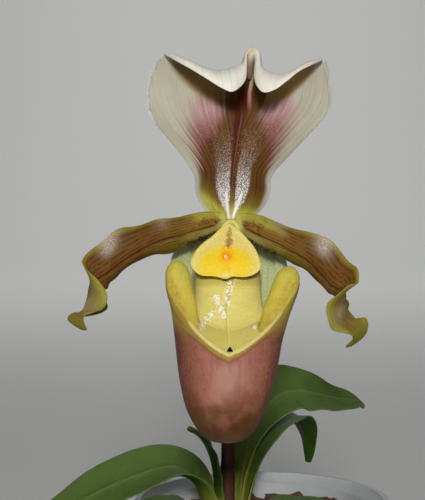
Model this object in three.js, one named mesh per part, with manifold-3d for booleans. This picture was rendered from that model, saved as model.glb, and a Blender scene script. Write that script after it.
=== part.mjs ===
// A slipper orchid (Paphiopedilum) in its pot: millimetres, +Z up, seen along +Y, origin at the
// centre of the pot's foot. The flower is drawn in a frame of its own: X to the right, Y away
// from the viewer, Z up, with its origin where sepals, petals, lip and column meet.
import * as THREE from 'three';
import { mergeVertices } from 'three/addons/utils/BufferGeometryUtils.js';
import Module from 'manifold-3d';

const wasm = await Module();
wasm.setup();

// ---- Driving dimensions -------------------------------------------------------------------------

const POT_HEIGHT = 62;
const POT_RIM_RADIUS = 34;
const POT_FOOT_RADIUS = 25;
const POT_WALL = 1.4;
const POT_SIDES = 48;
const DRAIN_HOLES = 8;
const DRAIN_RADIUS = 3;
const DRAIN_RING_RADIUS = 15;

const BARK_LEVEL = 52;
const BARK_CHIPS = 26;
const BARK_SEED = 11;

const GAP = 0.3;
const CLEARANCE = 2 * GAP + 0.1;

const FLOWER_CENTRE = [-9.3, -64.2, 139.3];
const FLOWER_TILT_DEG = -4.5;
const SEPAL_THICKNESS = 0.7;
const PETAL_THICKNESS = 0.7;
const LIP_WALL = 1;
const LEAF_THICKNESS = 0.9;

const CROWN_CENTRE = [-9, -8, 57];
const CROWN_RADIUS = 8.4;
const SHEATH_DEPTH = 3;
const SCAPE_RADIUS = 1.5;
const OVARY_RADIUS = 2.3;
const OVARY_RIBS = 6;
const ROOT_RADIUS = 1.5;

// ---- Materials ----------------------------------------------------------------------------------

const finish = (color, roughness) => new THREE.MeshStandardMaterial({ color, roughness, metalness: 0 });

const MATERIALS = {
  pot: finish(0xb4b6b6, 0.4),
  bark: finish(0x5a3a28, 0.9),
  root: finish(0x8a7358, 0.85),
  leaf: finish(0x2c4a1c, 0.45),
  scape: finish(0x5b4130, 0.7),
  bract: finish(0x7d8c3e, 0.55),
  ovary: finish(0x7c7d42, 0.6),
  dorsal: finish(0xd9d6c4, 0.5),
  synsepal: finish(0xb4bf9d, 0.55),
  petal: finish(0x7d6a34, 0.5),
  lip: finish(0x96665a, 0.4),
  column: finish(0xe8c838, 0.35),
};

// ---- Curves and profiles ------------------------------------------------------------------------

/** A smooth curve through its points that stays at its ends past them. */
class Route extends THREE.CatmullRomCurve3 {
  getPoint(t, target) {
    return super.getPoint(THREE.MathUtils.clamp(t, 0, 1), target);
  }
}

/** A smooth curve through the given [x, y, z] points. */
function curve(points) {
  return new Route(points.map((p) => new THREE.Vector3(...p)), false, 'catmullrom', 0.5);
}

/** A smooth height over the line, through [position, height] pairs, with no overshoot between them. */
function through(pairs, at) {
  const last = pairs.length - 1;
  const x = THREE.MathUtils.clamp(at, pairs[0][0], pairs[last][0]);
  const i = Math.min(pairs.findIndex((pair, k) => k === last || x < pairs[k + 1][0]), last - 1);
  const slope = (k) => (pairs[k + 1][1] - pairs[k][1]) / (pairs[k + 1][0] - pairs[k][0]);
  const tangent = (k) => {
    if (k === 0) return slope(0);
    if (k === last) return slope(last - 1);
    return slope(k - 1) * slope(k) <= 0 ? 0 : (slope(k - 1) + slope(k)) / 2;
  };
  const width = pairs[i + 1][0] - pairs[i][0];
  const t = (x - pairs[i][0]) / width;
  return (
    (2 * t ** 3 - 3 * t ** 2 + 1) * pairs[i][1] +
    (t ** 3 - 2 * t ** 2 + t) * width * tangent(i) +
    (3 * t ** 2 - 2 * t ** 3) * pairs[i + 1][1] +
    (t ** 3 - t ** 2) * width * tangent(i + 1)
  );
}

/** Evenly spaced numbers from one end to the other, both ends among them. */
function steps(from, to, count) {
  return Array.from({ length: count + 1 }, (_, i) => from + ((to - from) * i) / count);
}

/** Evenly spaced angles once round, without the last, which is the first again. */
const turns = (count) => steps(0, 2 * Math.PI, count).slice(0, -1);

/** Repeatable random numbers from 0 to 1. */
function seeded(seed) {
  let state = seed;
  return () => {
    state = (state * 1664525 + 1013904223) % 4294967296;
    return state / 4294967296;
  };
}

// ---- Solids -------------------------------------------------------------------------------------

/** Six times the signed volume of the tetrahedra from the origin to the triangles. */
function signedVolume(points, triangles) {
  return triangles.reduce((sum, [a, b, c]) => sum + points[a].dot(points[b].clone().cross(points[c])), 0);
}

/** A solid from points and the triangles of its closed skin, which may all face in or all face out. */
function solidFrom(points, triangles) {
  const facesOut = signedVolume(points, triangles) > 0;
  const outward = facesOut ? triangles : triangles.map(([a, b, c]) => [a, c, b]);
  const places = points.flatMap((point) => point.toArray());
  const geometry = new THREE.BufferGeometry();
  geometry.setAttribute('position', new THREE.Float32BufferAttribute(places, 3));
  geometry.setIndex(outward.flat());
  return solidOf(geometry);
}

/** The manifold solid of a closed geometry; triangles that merging its points collapses are dropped. */
function solidOf(source) {
  const geometry = source.clone();
  geometry.deleteAttribute('normal');
  geometry.deleteAttribute('uv');
  const merged = mergeVertices(geometry, 1e-4);
  const index = merged.index.array;
  const kept = [];
  for (let i = 0; i < index.length; i += 3) {
    const [a, b, c] = [index[i], index[i + 1], index[i + 2]];
    if (a !== b && b !== c && c !== a) kept.push(a, b, c);
  }
  return new wasm.Manifold(
    new wasm.Mesh({
      numProp: 3,
      vertProperties: Float32Array.from(merged.attributes.position.array),
      triVerts: Uint32Array.from(kept),
    }),
  );
}

/** The two triangles of a grid cell whose corners are a, b (next column), c (next row), d (both). */
const cell = (a, b, c, d) => [[a, b, d], [a, d, c]];

/** The outward direction of a surface point, from small steps along both parameters. */
function normalAt(surface, u, v) {
  const step = 1e-3;
  const along = surface(u + step, v).sub(surface(u - step, v));
  const across = surface(u, v + step).sub(surface(u, v - step));
  return along.cross(across).normalize();
}

/** A blade of even thickness whose middle is the surface at the columns us and the rows vs. */
function blade(surface, us, vs, thickness) {
  const points = [];
  for (const side of [0.5, -0.5]) {
    for (const v of vs) {
      for (const u of us) {
        points.push(surface(u, v).addScaledVector(normalAt(surface, u, v), side * thickness));
      }
    }
  }
  const columns = us.length;
  const back = us.length * vs.length;
  const triangles = [];
  for (let j = 0; j + 1 < vs.length; j++) {
    for (let i = 0; i + 1 < columns; i++) {
      const a = j * columns + i;
      for (const [p, q, r] of cell(a, a + 1, a + columns, a + columns + 1)) {
        triangles.push([p, q, r], [back + p, back + r, back + q]);
      }
    }
  }
  const rim = [];
  for (let i = 0; i + 1 < columns; i++) rim.push(i);
  for (let j = 0; j + 1 < vs.length; j++) rim.push(j * columns + columns - 1);
  for (let i = columns - 1; i > 0; i--) rim.push((vs.length - 1) * columns + i);
  for (let j = vs.length - 1; j > 0; j--) rim.push(j * columns);
  rim.forEach((a, k) => {
    const b = rim[(k + 1) % rim.length];
    triangles.push([a, back + a, b], [b, back + a, back + b]);
  });
  return solidFrom(points, triangles);
}

/** Closed rings of points joined into one solid, with a fan over the first and the last ring. */
function loft(rings) {
  const count = rings[0].length;
  const points = rings.flat();
  const triangles = [];
  for (let j = 0; j + 1 < rings.length; j++) {
    for (let i = 0; i < count; i++) {
      const next = (i + 1) % count;
      const below = j * count;
      const above = below + count;
      triangles.push(...cell(below + i, below + next, above + i, above + next));
    }
  }
  const cap = (ring, flip) => {
    const centre = points.length;
    const middle = new THREE.Vector3();
    rings[ring].forEach((p) => middle.addScaledVector(p, 1 / count));
    points.push(middle);
    for (let i = 0; i < count; i++) {
      const a = ring * count + i;
      const b = ring * count + ((i + 1) % count);
      triangles.push(flip ? [centre, b, a] : [centre, a, b]);
    }
  };
  cap(0, true);
  cap(rings.length - 1, false);
  return solidFrom(points, triangles);
}

/** A tapering stem along a curve; radius gives its radius at each share of the length. */
function stem(path, radius, sides, count, swell = () => 1) {
  const frames = path.computeFrenetFrames(count, false);
  const rings = steps(0, 1, count).map((t, j) =>
    turns(sides).map((angle) => {
      const reach = radius(t) * swell(angle);
      return path
        .getPointAt(t)
        .addScaledVector(frames.normals[j], reach * Math.cos(angle))
        .addScaledVector(frames.binormals[j], reach * Math.sin(angle));
    }),
  );
  return loft(rings);
}

/** An ellipsoid with the given half sizes. */
function ellipsoid(centre, [rx, ry, rz], sides) {
  const geometry = new THREE.SphereGeometry(1, sides, Math.ceil(sides * 0.6));
  geometry.scale(rx, ry, rz);
  geometry.translate(...centre);
  return solidOf(geometry);
}

const join = (solids) => solids.reduce((sum, solid) => sum.add(solid));

/** The solid with the others cut away; loose scraps of the cut are dropped. */
function clearOf(solid, others) {
  const pieces = others.reduce((left, other) => left.subtract(other), solid).decompose();
  return pieces.reduce((best, piece) => (piece.volume() > best.volume() ? piece : best));
}

function meshOf(name, solid, material) {
  const { vertProperties, triVerts } = solid.getMesh();
  const geometry = new THREE.BufferGeometry();
  geometry.setAttribute('position', new THREE.BufferAttribute(Float32Array.from(vertProperties), 3));
  geometry.setIndex(new THREE.BufferAttribute(Uint32Array.from(triVerts), 1));
  const mesh = new THREE.Mesh(geometry, material);
  mesh.name = name;
  return mesh;
}

// ---- Dorsal sepal -------------------------------------------------------------------------------

// From the base to the tip of the beak, and from the base to the outer corner on each side.
const DORSAL_MIDLINE = curve([
  [0.2, 1.6, 0.2], [0.3, 0.8, 5], [0.8, 0.8, 11], [1.7, 2, 17.5],
  [2.9, 2.6, 24.4], [4.4, 1, 31.4], [5, -3, 38.1],
]);
const DORSAL_SIDE = {
  left: curve([
    [-2, 2.4, 0.4], [-5.5, 3.6, 2.8], [-7.5, 5.2, 6.6], [-7.9, 6, 10.6], [-11.2, 5.5, 15.6],
    [-16.2, 4, 21.9], [-17.9, 3, 26.7], [-17.2, 2, 32.5], [-14.2, 0, 37.1],
  ]),
  right: curve([
    [2.4, 2.4, 0.4], [6.7, 3.6, 2.6], [8.9, 5.2, 6.6], [9.4, 6, 10.6], [13.7, 5.5, 15.5],
    [19.8, 4, 22.2], [22, 3, 26.5], [21.5, 2, 31.7], [20.1, 0, 35.9],
  ]),
};
// The line where the top folds forward, and the free edge of the folded flap, beak to corner.
const DORSAL_FOLD = {
  left: curve([
    [5, -3, 38.1], [3.6, -3, 37], [2.8, -2.8, 34.5], [0.2, -2.5, 33.3], [-3.1, -2.5, 32.6],
    [-6.1, -2.2, 33.6], [-9.2, -1.6, 35.1], [-11.9, -0.8, 36.3], [-14.2, 0, 37.1],
  ]),
  right: curve([
    [5, -3, 38.1], [6.3, -3, 36.8], [6.7, -2.8, 33.9], [8.2, -2.5, 32.5], [10.7, -2.5, 31.9],
    [13.3, -2.2, 32.6], [15.8, -1.6, 34], [18, -0.8, 35.2], [20.1, 0, 35.9],
  ]),
};
const DORSAL_FLAP_EDGE = {
  left: curve([
    [5, -3.2, 37.9], [3.6, -5.3, 35.2], [3.2, -11.5, 30.2], [0.6, -15.5, 27.2], [-1.9, -15.5, 27.9],
    [-5.2, -14, 30.1], [-8.4, -11.5, 32.3], [-11.5, -8, 34.4], [-14.2, -2.5, 36.5],
  ]),
  right: curve([
    [5, -3.2, 37.9], [5.3, -5.5, 34.9], [5.1, -11.5, 30], [6.6, -15.5, 27.1], [9.1, -15.5, 27.5],
    [11.8, -14, 29.5], [14.6, -11.5, 31.9], [17.4, -8, 33.6], [20.1, -2.5, 35.3],
  ]),
};

const DORSAL_DISH = 1.7;
const FLAP_CREST = 0.85;

/** The sepal's sheet: across from -1 to 1, up from the base at 0 to the fold at 1. */
function dorsalSheet(across, up) {
  const side = across < 0 ? 'left' : 'right';
  const share = Math.min(Math.abs(across), 1);
  const middle = DORSAL_MIDLINE.getPoint(up);
  const margin = DORSAL_SIDE[side].getPoint(up);
  const point = middle.clone().lerp(margin, share);
  point.y = THREE.MathUtils.lerp(middle.y, margin.y, share ** DORSAL_DISH);
  const fold = DORSAL_FOLD[side].getPoint(share);
  const chord = DORSAL_FOLD[side].getPoint(0).lerp(DORSAL_FOLD[side].getPoint(1), share);
  return point.addScaledVector(fold.sub(chord), up ** 4);
}

/** The flap on one side: along from the beak at 0 to the corner at 1, over from the fold to its edge. */
function dorsalFlap(side, along, over) {
  const fold = DORSAL_FOLD[side].getPoint(along);
  const edge = DORSAL_FLAP_EDGE[side].getPoint(along);
  const crest = new THREE.Vector3(0, FLAP_CREST * (edge.y - fold.y), 0);
  return fold
    .clone()
    .addScaledVector(crest, 2 * over * (1 - over))
    .addScaledVector(edge.sub(fold), over ** 2);
}

const DORSAL_HALF = [0.12, 0.25, 0.4, 0.55, 0.7, 0.85, 1];
const DORSAL_COLUMNS = [...DORSAL_HALF.map((share) => -share).reverse(), 0, ...DORSAL_HALF];
const DORSAL_ROWS = [0.02, 0.14, 0.28, 0.41, 0.53, 0.64, 0.74, 0.83, 0.91, 0.97, 1];
const FLAP_ROWS = [-0.02, 0.2, 0.45, 0.72, 1];
const FLAP_COLUMNS = steps(0.06, 0.98, 8);

function dorsalSepal(thickness) {
  const sheet = blade(dorsalSheet, DORSAL_COLUMNS, DORSAL_ROWS, thickness);
  const flaps = ['left', 'right'].map((side) =>
    blade((along, over) => dorsalFlap(side, along, over), FLAP_COLUMNS, FLAP_ROWS, thickness),
  );
  return join([sheet, ...flaps]);
}

// ---- Synsepal -----------------------------------------------------------------------------------

const SYNSEPAL_MARGIN = {
  left: curve([
    [-1.9, 3.8, -1.6], [-7.5, 6, -3], [-11.6, 7.5, -5.4], [-13.4, 8.5, -9.2], [-13.4, 8.5, -15.2],
    [-11.6, 7.5, -24.2], [-7.8, 6, -33], [-4, 4.8, -38.6], [-1.6, 4.4, -41],
  ]),
  right: curve([
    [2, 3.8, -1.6], [7.2, 6, -3.4], [11.1, 7.5, -5.8], [13, 8.5, -9.6], [12.7, 8.5, -15.6],
    [10.4, 7.5, -24.4], [6.1, 6, -33.2], [2.2, 4.8, -38.6], [-0.2, 4.4, -41],
  ]),
};
const SYNSEPAL_DISH = 2.5;
const SYNSEPAL_FULLNESS = 0.7;

/** Across from margin to margin, down from the base; the middle is dished away from the lip. */
function synsepalSheet(across, down) {
  const left = SYNSEPAL_MARGIN.left.getPoint(down);
  const right = SYNSEPAL_MARGIN.right.getPoint(down);
  const point = left.lerp(right, (across + 1) / 2);
  const swell = Math.sin(Math.PI * THREE.MathUtils.clamp(down, 0, 1)) ** SYNSEPAL_FULLNESS;
  point.y += SYNSEPAL_DISH * (1 - across ** 2) * swell;
  return point;
}

const synsepal = (thickness) => blade(synsepalSheet, steps(-1, 1, 8), steps(0, 0.99, 12), thickness);

// ---- Petals -------------------------------------------------------------------------------------

// Each petal is a ribbon between an upper and a lower margin, with its midrib between them. The
// margins change places in the last third, where the ribbon turns over, and curl at the tip.
const PETALS = {
  petal_left: {
    upper: curve([
      [-1.8, 0.4, 2.5], [-5.7, 0, 2.3], [-10.6, -0.4, 1.3], [-15.4, -1, 0.6], [-20.1, -2, -0.7],
      [-24.9, -3, -1.9], [-28.7, -5, -5], [-31.4, -7.5, -7.5], [-31.5, -9, -9.6], [-28.4, -12, -12.1],
      [-26.1, -13, -15.9], [-27.1, -12, -18.6], [-30.4, -10, -19.8], [-31.4, -9, -20.5],
      [-31.3, -8.5, -21.8], [-30.6, -8, -23.6],
    ]),
    midrib: curve([
      [-1.6, -0.3, 0], [-5.9, -0.8, -1.3], [-10.8, -1.8, -2.8], [-15.3, -3, -4.1], [-19.6, -4.5, -6.2],
      [-23.8, -6, -8.9], [-26.3, -7.5, -10.9], [-28, -8, -12], [-28.8, -8.5, -12.8], [-29.8, -9, -14.1],
      [-30.3, -9.5, -16], [-31.2, -9, -18.6], [-32, -9, -19.5], [-32.9, -8.5, -20.1],
      [-32.9, -8.5, -21.6], [-30.8, -8, -23.6],
    ]),
    lower: curve([
      [-1.8, 0.6, -2.2], [-6.2, 1, -3.5], [-10.4, 1.2, -5.6], [-14.5, 0.5, -7], [-18.5, 0, -7.4],
      [-22.8, -1.5, -9.7], [-25.3, -4, -12.2], [-26.4, -5.5, -13.8], [-26.9, -5.5, -14.6],
      [-27.1, -5.5, -15.3], [-27.1, -6, -16.8], [-26.6, -7, -18.9], [-30.6, -8.5, -20.3],
      [-33.6, -8, -19.6], [-34.9, -8, -21.2], [-31, -8, -23.6],
    ]),
  },
  petal_right: {
    upper: curve([
      [2.2, 0.4, 2.2], [6.2, 0, 1.7], [11.9, -0.4, -0.7], [17.1, -1, -2.2], [21.8, -3, -3.8],
      [25.1, -5, -8.1], [27.3, -7, -10], [27.3, -9.5, -12.6], [25.2, -11.5, -13.8], [21.9, -13, -15.9],
      [20.2, -13.5, -18.8], [21.3, -12.5, -22.7], [24.2, -11, -23.8], [26.2, -10, -24.3],
      [25.9, -9, -25.9], [24.6, -8, -27.2],
    ]),
    midrib: curve([
      [2, -0.3, -0.2], [6.6, -0.8, -2.9], [11.6, -1.8, -5.3], [16.3, -3, -8.1], [19, -5, -10.6],
      [21.3, -7, -13.3], [22.7, -7.5, -14.3], [23.8, -8, -15], [24.2, -8, -15.6], [24.2, -8.5, -16.5],
      [23.9, -9, -17.7], [23.6, -10, -19.4], [24.2, -10, -21.3], [26, -9.5, -22.6],
      [27.3, -9, -24.4], [24.7, -8, -27.3],
    ]),
    lower: curve([
      [2.2, 0.6, -2.4], [6, 1, -5.1], [11.3, 1, -7.6], [15.8, 0, -9.9], [18.6, -2, -11.8],
      [20.8, -4.5, -14.2], [21.8, -5, -15.3], [22.7, -5, -16.1], [23.8, -5, -16.6], [24.9, -5, -17],
      [25.5, -5, -17.9], [25.7, -6, -19.6], [26.9, -7, -20.8], [29.1, -8, -20.9],
      [29.1, -8, -24.2], [24.9, -8, -27.3],
    ]),
  },
};

/** Across from the lower margin at -1 over the midrib at 0 to the upper margin at 1. */
function petalSheet({ upper, midrib, lower }, across, along) {
  return lower
    .getPoint(along)
    .multiplyScalar((across * (across - 1)) / 2)
    .addScaledVector(midrib.getPoint(along), 1 - across ** 2)
    .addScaledVector(upper.getPoint(along), (across * (across + 1)) / 2);
}

const PETAL_COLUMNS = steps(-1, 1, 4);
const PETAL_ROWS = [...steps(0, 0.4, 8), ...steps(0.44, 0.985, 24)];

function petal(name, thickness) {
  const sheet = (across, along) => petalSheet(PETALS[name], across, along);
  return blade(sheet, PETAL_COLUMNS, PETAL_ROWS, thickness);
}

// ---- Lip ----------------------------------------------------------------------------------------

// Cross-sections of the pouch from its toe to its mouth: [middle x, half width, half depth,
// middle y, height].
const POUCH_SECTIONS = [
  [-1, 0, 0, -12.5, -47], [-0.9, 3.2, 3.1, -12.4, -46.5], [-0.8, 5.4, 5.5, -12.2, -44.9],
  [-0.9, 6.9, 7.1, -12, -43], [-0.9, 8.6, 8.8, -11.7, -39.5], [-0.8, 9.8, 9.8, -11.3, -35.1],
  [-0.6, 10.7, 10.5, -10.9, -30.5], [-0.4, 11.5, 10.7, -10.3, -25.2], [0.1, 12.7, 10, -9.6, -19.6],
  [0.5, 14.1, 8.2, -9.3, -14.5], [0.6, 14.6, 7.2, -9.1, -9.5],
];
// The mouth's height round the pouch, from its front at 0 degrees to its back at 180.
const MOUTH_HEIGHT = [
  [0, -27.9], [14, -26.6], [26, -25], [36, -23.5], [44, -22], [52, -20.1], [60, -17.8], [68, -15.4],
  [76, -13.7], [86, -12.5], [96, -12.3], [108, -14.5], [128, -19.5], [150, -20.5], [180, -19.5],
];
// How much lower the mouth is at the right than at its front.
const MOUTH_TILT = 0.45;
// The rolled ears at the mouth's sides, from the tip down along the rim.
const EARS = [
  [
    [-11.8, -10.6, -8.3], [-11.25, -11, -11.8], [-10.75, -11.8, -15], [-9.8, -13.3, -17.8],
    [-8.7, -15.2, -20.3], [-7.7, -16.7, -22.4], [-6.6, -17.9, -24.2],
  ],
  [
    [12.9, -10.6, -9.5], [12, -11, -12.8], [10.8, -11.9, -16], [9.5, -13.4, -18.6],
    [8.1, -15.3, -21], [6.9, -16.8, -23], [5.7, -17.9, -24.8],
  ],
];
const EAR_WIDTH = [
  [0, 0.5], [0.03, 1.5], [0.09, 2.35], [0.2, 2.75], [0.4, 2.8],
  [0.55, 2.5], [0.7, 1.9], [0.85, 1.2], [1, 0.6],
];
const EAR_FLATNESS = 0.8;
const EAR_SHARES = [0, 0.03, 0.09, 0.2, 0.3, 0.4, 0.5, 0.6, 0.7, 0.8, 0.9, 1];
const EAR_SIDES = 10;
// The neck of infolded lobes that runs from the mouth up behind the column: the places of its
// front, its side and its back at each level, from the top to the mouth.
const NECK = {
  front: curve([
    [-0.6, -7.2, -9.8], [-0.6, -8, -13], [-0.5, -10.2, -17],
    [-0.4, -13.6, -21.2], [-0.3, -17.3, -25.2], [-0.2, -19.9, -27.9],
  ]),
  side: curve([
    [5.6, -2.8, -6.6], [6.9, -3.2, -11], [6.9, -4.5, -15],
    [7.2, -8.5, -19], [8, -10.5, -21.5], [8.4, -11, -24],
  ]),
  back: curve([
    [0, 0.3, -2.8], [0, 0.2, -8], [0, 0, -13], [0, -0.4, -18], [0, -0.8, -22], [0, -1, -25],
  ]),
};
const SEAM_DEPTH = 0.5;
const SEAM_WIDTH = 0.04;
// How far round from the front the seam of the two lobes lies, by how far down.
const SEAM_PLACE = [
  [0, 0.15], [0.07, 0.12], [0.18, 0.064], [0.3, 0.029], [0.5, -0.016], [0.88, -0.011], [1, -0.01],
];
const THROAT_HOLE = { centre: [-0.25, -19, -26.75], radius: 0.75, depth: 6 };

const degrees = THREE.MathUtils.degToRad;
const POUCH_OUTLINE = curve(POUCH_SECTIONS.map(([x, halfWidth, , , z]) => [x, halfWidth, z]));
const POUCH_DEPTH = curve(POUCH_SECTIONS.map(([, , halfDepth, y, z]) => [y, halfDepth, z]));

/** How far up its sections the pouch reaches at the mouth, at an angle from the front. */
function mouthLevel(angle) {
  const fromFront = Math.abs(THREE.MathUtils.radToDeg(angle));
  const height = through(MOUTH_HEIGHT, fromFront) - MOUTH_TILT * Math.sin(angle);
  let [low, high] = [0, 1];
  for (let i = 0; i < 24; i++) {
    const middle = (low + high) / 2;
    if (POUCH_OUTLINE.getPoint(middle).z < height) low = middle;
    else high = middle;
  }
  return low;
}

/** A point of the pouch: angle from the front, level from the toe at 0 to the mouth at 1. */
function pouchPoint(angle, level, inset) {
  const up = mouthLevel(angle) * level;
  const { x, y: halfWidth, z } = POUCH_OUTLINE.getPoint(up);
  const { x: y, y: halfDepth } = POUCH_DEPTH.getPoint(up);
  const width = Math.max(halfWidth - inset, 0);
  const depth = Math.max(halfDepth - inset, 0);
  return new THREE.Vector3(x + width * Math.sin(angle), y - depth * Math.cos(angle), z);
}

const POUCH_LEVELS = [0.12, 0.2, 0.29, 0.39, 0.5, 0.61, 0.72, 0.83, 0.92, 1];
const POUCH_SIDES = 32;
// The toe's floor rises by the wall's thickness, and the rise dies out by this power up the pouch.
const TOE_RISE = 6;

/** The pouch as a sock: up the outside to the mouth, and down the inside to the toe again. */
function pouch(wall) {
  const rise = (level) => new THREE.Vector3(0, 0, (1 - level) ** TOE_RISE * wall);
  const ring = (level, inset) =>
    turns(POUCH_SIDES).map((angle) => pouchPoint(angle - Math.PI, level, inset));
  const outside = POUCH_LEVELS.map((level) => ring(level, 0));
  const inside = POUCH_LEVELS.map((level) => ring(level, wall).map((point) => point.add(rise(level))));
  inside.reverse();
  return loft([...outside, ...inside]);
}

/** An ear: a fat finger that dwindles along the rim. */
function ear(points) {
  const path = curve(points);
  const away = new THREE.Vector3(0, 1, 0);
  const rings = EAR_SHARES.map((t) => {
    const width = through(EAR_WIDTH, t);
    const across = path.getTangent(t).cross(away).normalize();
    return turns(EAR_SIDES).map((angle) =>
      path
        .getPoint(t)
        .addScaledVector(across, -width * Math.cos(angle))
        .addScaledVector(away, EAR_FLATNESS * width * Math.sin(angle)),
    );
  });
  return loft(rings);
}

/** The neck's sheet: turn from -1 at the back round the seam at 0, down from its top to the mouth. */
function neckSheet(turn, down) {
  const angle = (turn + through(SEAM_PLACE, down) * (1 - Math.abs(turn))) * Math.PI;
  const front = NECK.front.getPoint(down);
  const side = NECK.side.getPoint(down);
  const back = NECK.back.getPoint(down);
  const middle = new THREE.Vector3(front.x, side.y, side.z);
  const forward = Math.max(Math.cos(angle), 0);
  const rearward = Math.max(-Math.cos(angle), 0);
  const seam = SEAM_DEPTH * Math.exp(-((turn / SEAM_WIDTH) ** 2));
  const point = middle
    .clone()
    .addScaledVector(front.sub(middle), forward)
    .addScaledVector(back.sub(middle), rearward);
  point.x += side.x * Math.sin(angle);
  point.y += seam;
  return point;
}

const NECK_HALF = [0.05, 0.12, 0.2, 0.29, 0.38, 0.48, 0.58, 0.7, 0.84, 0.97];
const NECK_COLUMNS = [...NECK_HALF.map((turn) => -turn).reverse(), 0, ...NECK_HALF];
const NECK_ROWS = steps(0, 1, 8);

const neck = (wall) => blade(neckSheet, NECK_COLUMNS, NECK_ROWS, wall);

/** The small three-cornered hole that the lobes leave at the lowest point of the mouth. */
function throatHole() {
  const { centre, radius, depth } = THROAT_HOLE;
  const geometry = new THREE.CylinderGeometry(radius, radius, depth, 3);
  geometry.rotateX(Math.PI / 2);
  geometry.rotateY(Math.PI);
  geometry.translate(...centre);
  return solidOf(geometry);
}

function lip(wall) {
  return join([pouch(wall), ...EARS.map(ear), neck(wall)]).subtract(throatHole());
}

// ---- Column -------------------------------------------------------------------------------------

const SHIELD_OUTLINE = curve([
  [-0.1, 0, -0.4], [-1.9, 0, -1.3], [-4, 0, -3.2], [-6.1, 0, -4.8], [-7.7, 0, -6.7], [-8.4, 0, -8.7],
  [-7.9, 0, -10.2], [-6.4, 0, -11.4], [-4.4, 0, -11.6], [-2.7, 0, -12], [-1, 0, -12.6],
  [0.5, 0, -11.9], [2.9, 0, -12], [5, 0, -11.5], [6.4, 0, -9.8], [6.1, 0, -7.8], [5.1, 0, -5.6],
  [3.7, 0, -3.8], [2, 0, -2], [-0.1, 0, -0.4],
]);
const SHIELD_MIDDLE = new THREE.Vector3(-1, 0, -7.4);
const SHIELD_THICKNESS = 0.9;
const SHIELD_TOP_DEPTH = -5.6;
const SHIELD_SLOPE = 0.45;
const SHIELD_DOME = 1;
const SHIELD_SIDES = 20;
const BOSS = { centre: [-1, -10, -7.6], radii: [1.2, 0.9, 1.3], sides: 8 };
const SHAFT_PATH = curve([[0.1, 1.2, -0.4], [0, -2, -2], [-0.4, -5.4, -4.6], [-0.8, -9, -7]]);
const SHAFT_RADIUS = 1.5;
const STIGMA = { centre: [-0.3, -4.4, -6.2], radii: [2.1, 1.3, 2.6], sides: 10 };
const ANTHERS = [
  { centre: [-2.1, -3.2, -3.6], radii: [1.1, 1, 1.1], sides: 8 },
  { centre: [1.7, -3.2, -3.6], radii: [1.1, 1, 1.1], sides: 8 },
];

/** The shield's sheet: round its outline, out from its middle; it is domed and leans forward below. */
function shieldSheet(round, out) {
  const edge = SHIELD_OUTLINE.getPoint(((round % 1) + 1) % 1);
  const point = SHIELD_MIDDLE.clone().lerp(edge, out);
  point.y = SHIELD_TOP_DEPTH + SHIELD_SLOPE * point.z - SHIELD_DOME * (1 - out ** 2);
  return point;
}

/** The shield: rings out over its face to its edge, and in again over its back. */
function shield() {
  const rounds = steps(0, 1, SHIELD_SIDES).slice(0, -1);
  const behind = (back) => new THREE.Vector3(0, back, 0);
  const ring = (out, back) => rounds.map((round) => shieldSheet(round, out).add(behind(back)));
  const face = [0.12, 0.5, 1].map((out) => ring(out, 0));
  const rear = [1, 0.4].map((out) => ring(out, SHIELD_THICKNESS));
  return loft([...face, ...rear]);
}

/** The shield with its boss, on a shaft that carries the stigma and the two anthers behind it. */
function column() {
  const shaft = stem(SHAFT_PATH, () => SHAFT_RADIUS, 8, 5);
  const knob = ({ centre, radii, sides }) => ellipsoid(centre, radii, sides);
  return join([shield(), shaft, ...[BOSS, STIGMA, ...ANTHERS].map(knob)]);
}

// ---- Ovary, bract and scape ---------------------------------------------------------------------

const OVARY_JOINT = new THREE.Vector3(0.2, 33, -9.7);
const OVARY_PATH = curve([OVARY_JOINT.toArray(), [0.2, 21, -5.2], [0.1, 10, -1.5], [0.1, 3.2, -0.3]]);
const OVARY_TAPER = [[0, 0.6], [0.15, 0.72], [0.5, 1], [0.85, 0.95], [1, 1.2]];
const OVARY_RIB_RELIEF = 0.08;
const RECEPTACLE = { centre: [0.1, 3.4, -0.2], radii: [3, 1.8, 2.8], sides: 12 };

/** The ribbed ovary with the receptacle that the flower's parts spring from. */
function ovary() {
  const radius = (t) => OVARY_RADIUS * through(OVARY_TAPER, t);
  const ribbed = (angle) => 1 + OVARY_RIB_RELIEF * Math.cos(OVARY_RIBS * angle);
  const tube = stem(OVARY_PATH, radius, 2 * OVARY_RIBS, 9, ribbed);
  return tube.add(ellipsoid(RECEPTACLE.centre, RECEPTACLE.radii, RECEPTACLE.sides));
}

const BRACT_LENGTH = 0.55;
const BRACT_INNER = 2.1;
const BRACT_FLARE = 1.6;
const BRACT_HALF_TURN = 2.2;
const BRACT_POINT = 1.6;
const BRACT_THICKNESS = 0.7;

/** The bract's sheet: wrapped round the ovary's lower end from beneath, narrowing to a free point. */
function bractSheet(across, along) {
  const point = OVARY_PATH.getPoint(along * BRACT_LENGTH);
  const tangent = OVARY_PATH.getTangent(along * BRACT_LENGTH);
  const side = new THREE.Vector3(1, 0, 0);
  const below = side.clone().cross(tangent).normalize();
  if (below.z > 0) below.negate();
  const flare = BRACT_INNER + BRACT_FLARE * along;
  const angle = across * BRACT_HALF_TURN * (1 - along ** BRACT_POINT);
  return point
    .addScaledVector(below, flare * Math.cos(angle))
    .addScaledVector(side, flare * Math.sin(angle));
}

const bract = () => blade(bractSheet, steps(-1, 1, 6), steps(0.02, 0.96, 7), BRACT_THICKNESS);

// The scape's places from the crown's centre, and how thick it is from its foot to its top.
const SCAPE_ROUTE = [[0, 0, -SHEATH_DEPTH], [-0.2, -1, 20], [-0.4, -5.5, 42], [-0.2, -13, 58.5]];
const SCAPE_TAPER = [[0, 1.15], [1, 1]];
const SCAPE_STRAIGHT = 5;

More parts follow.
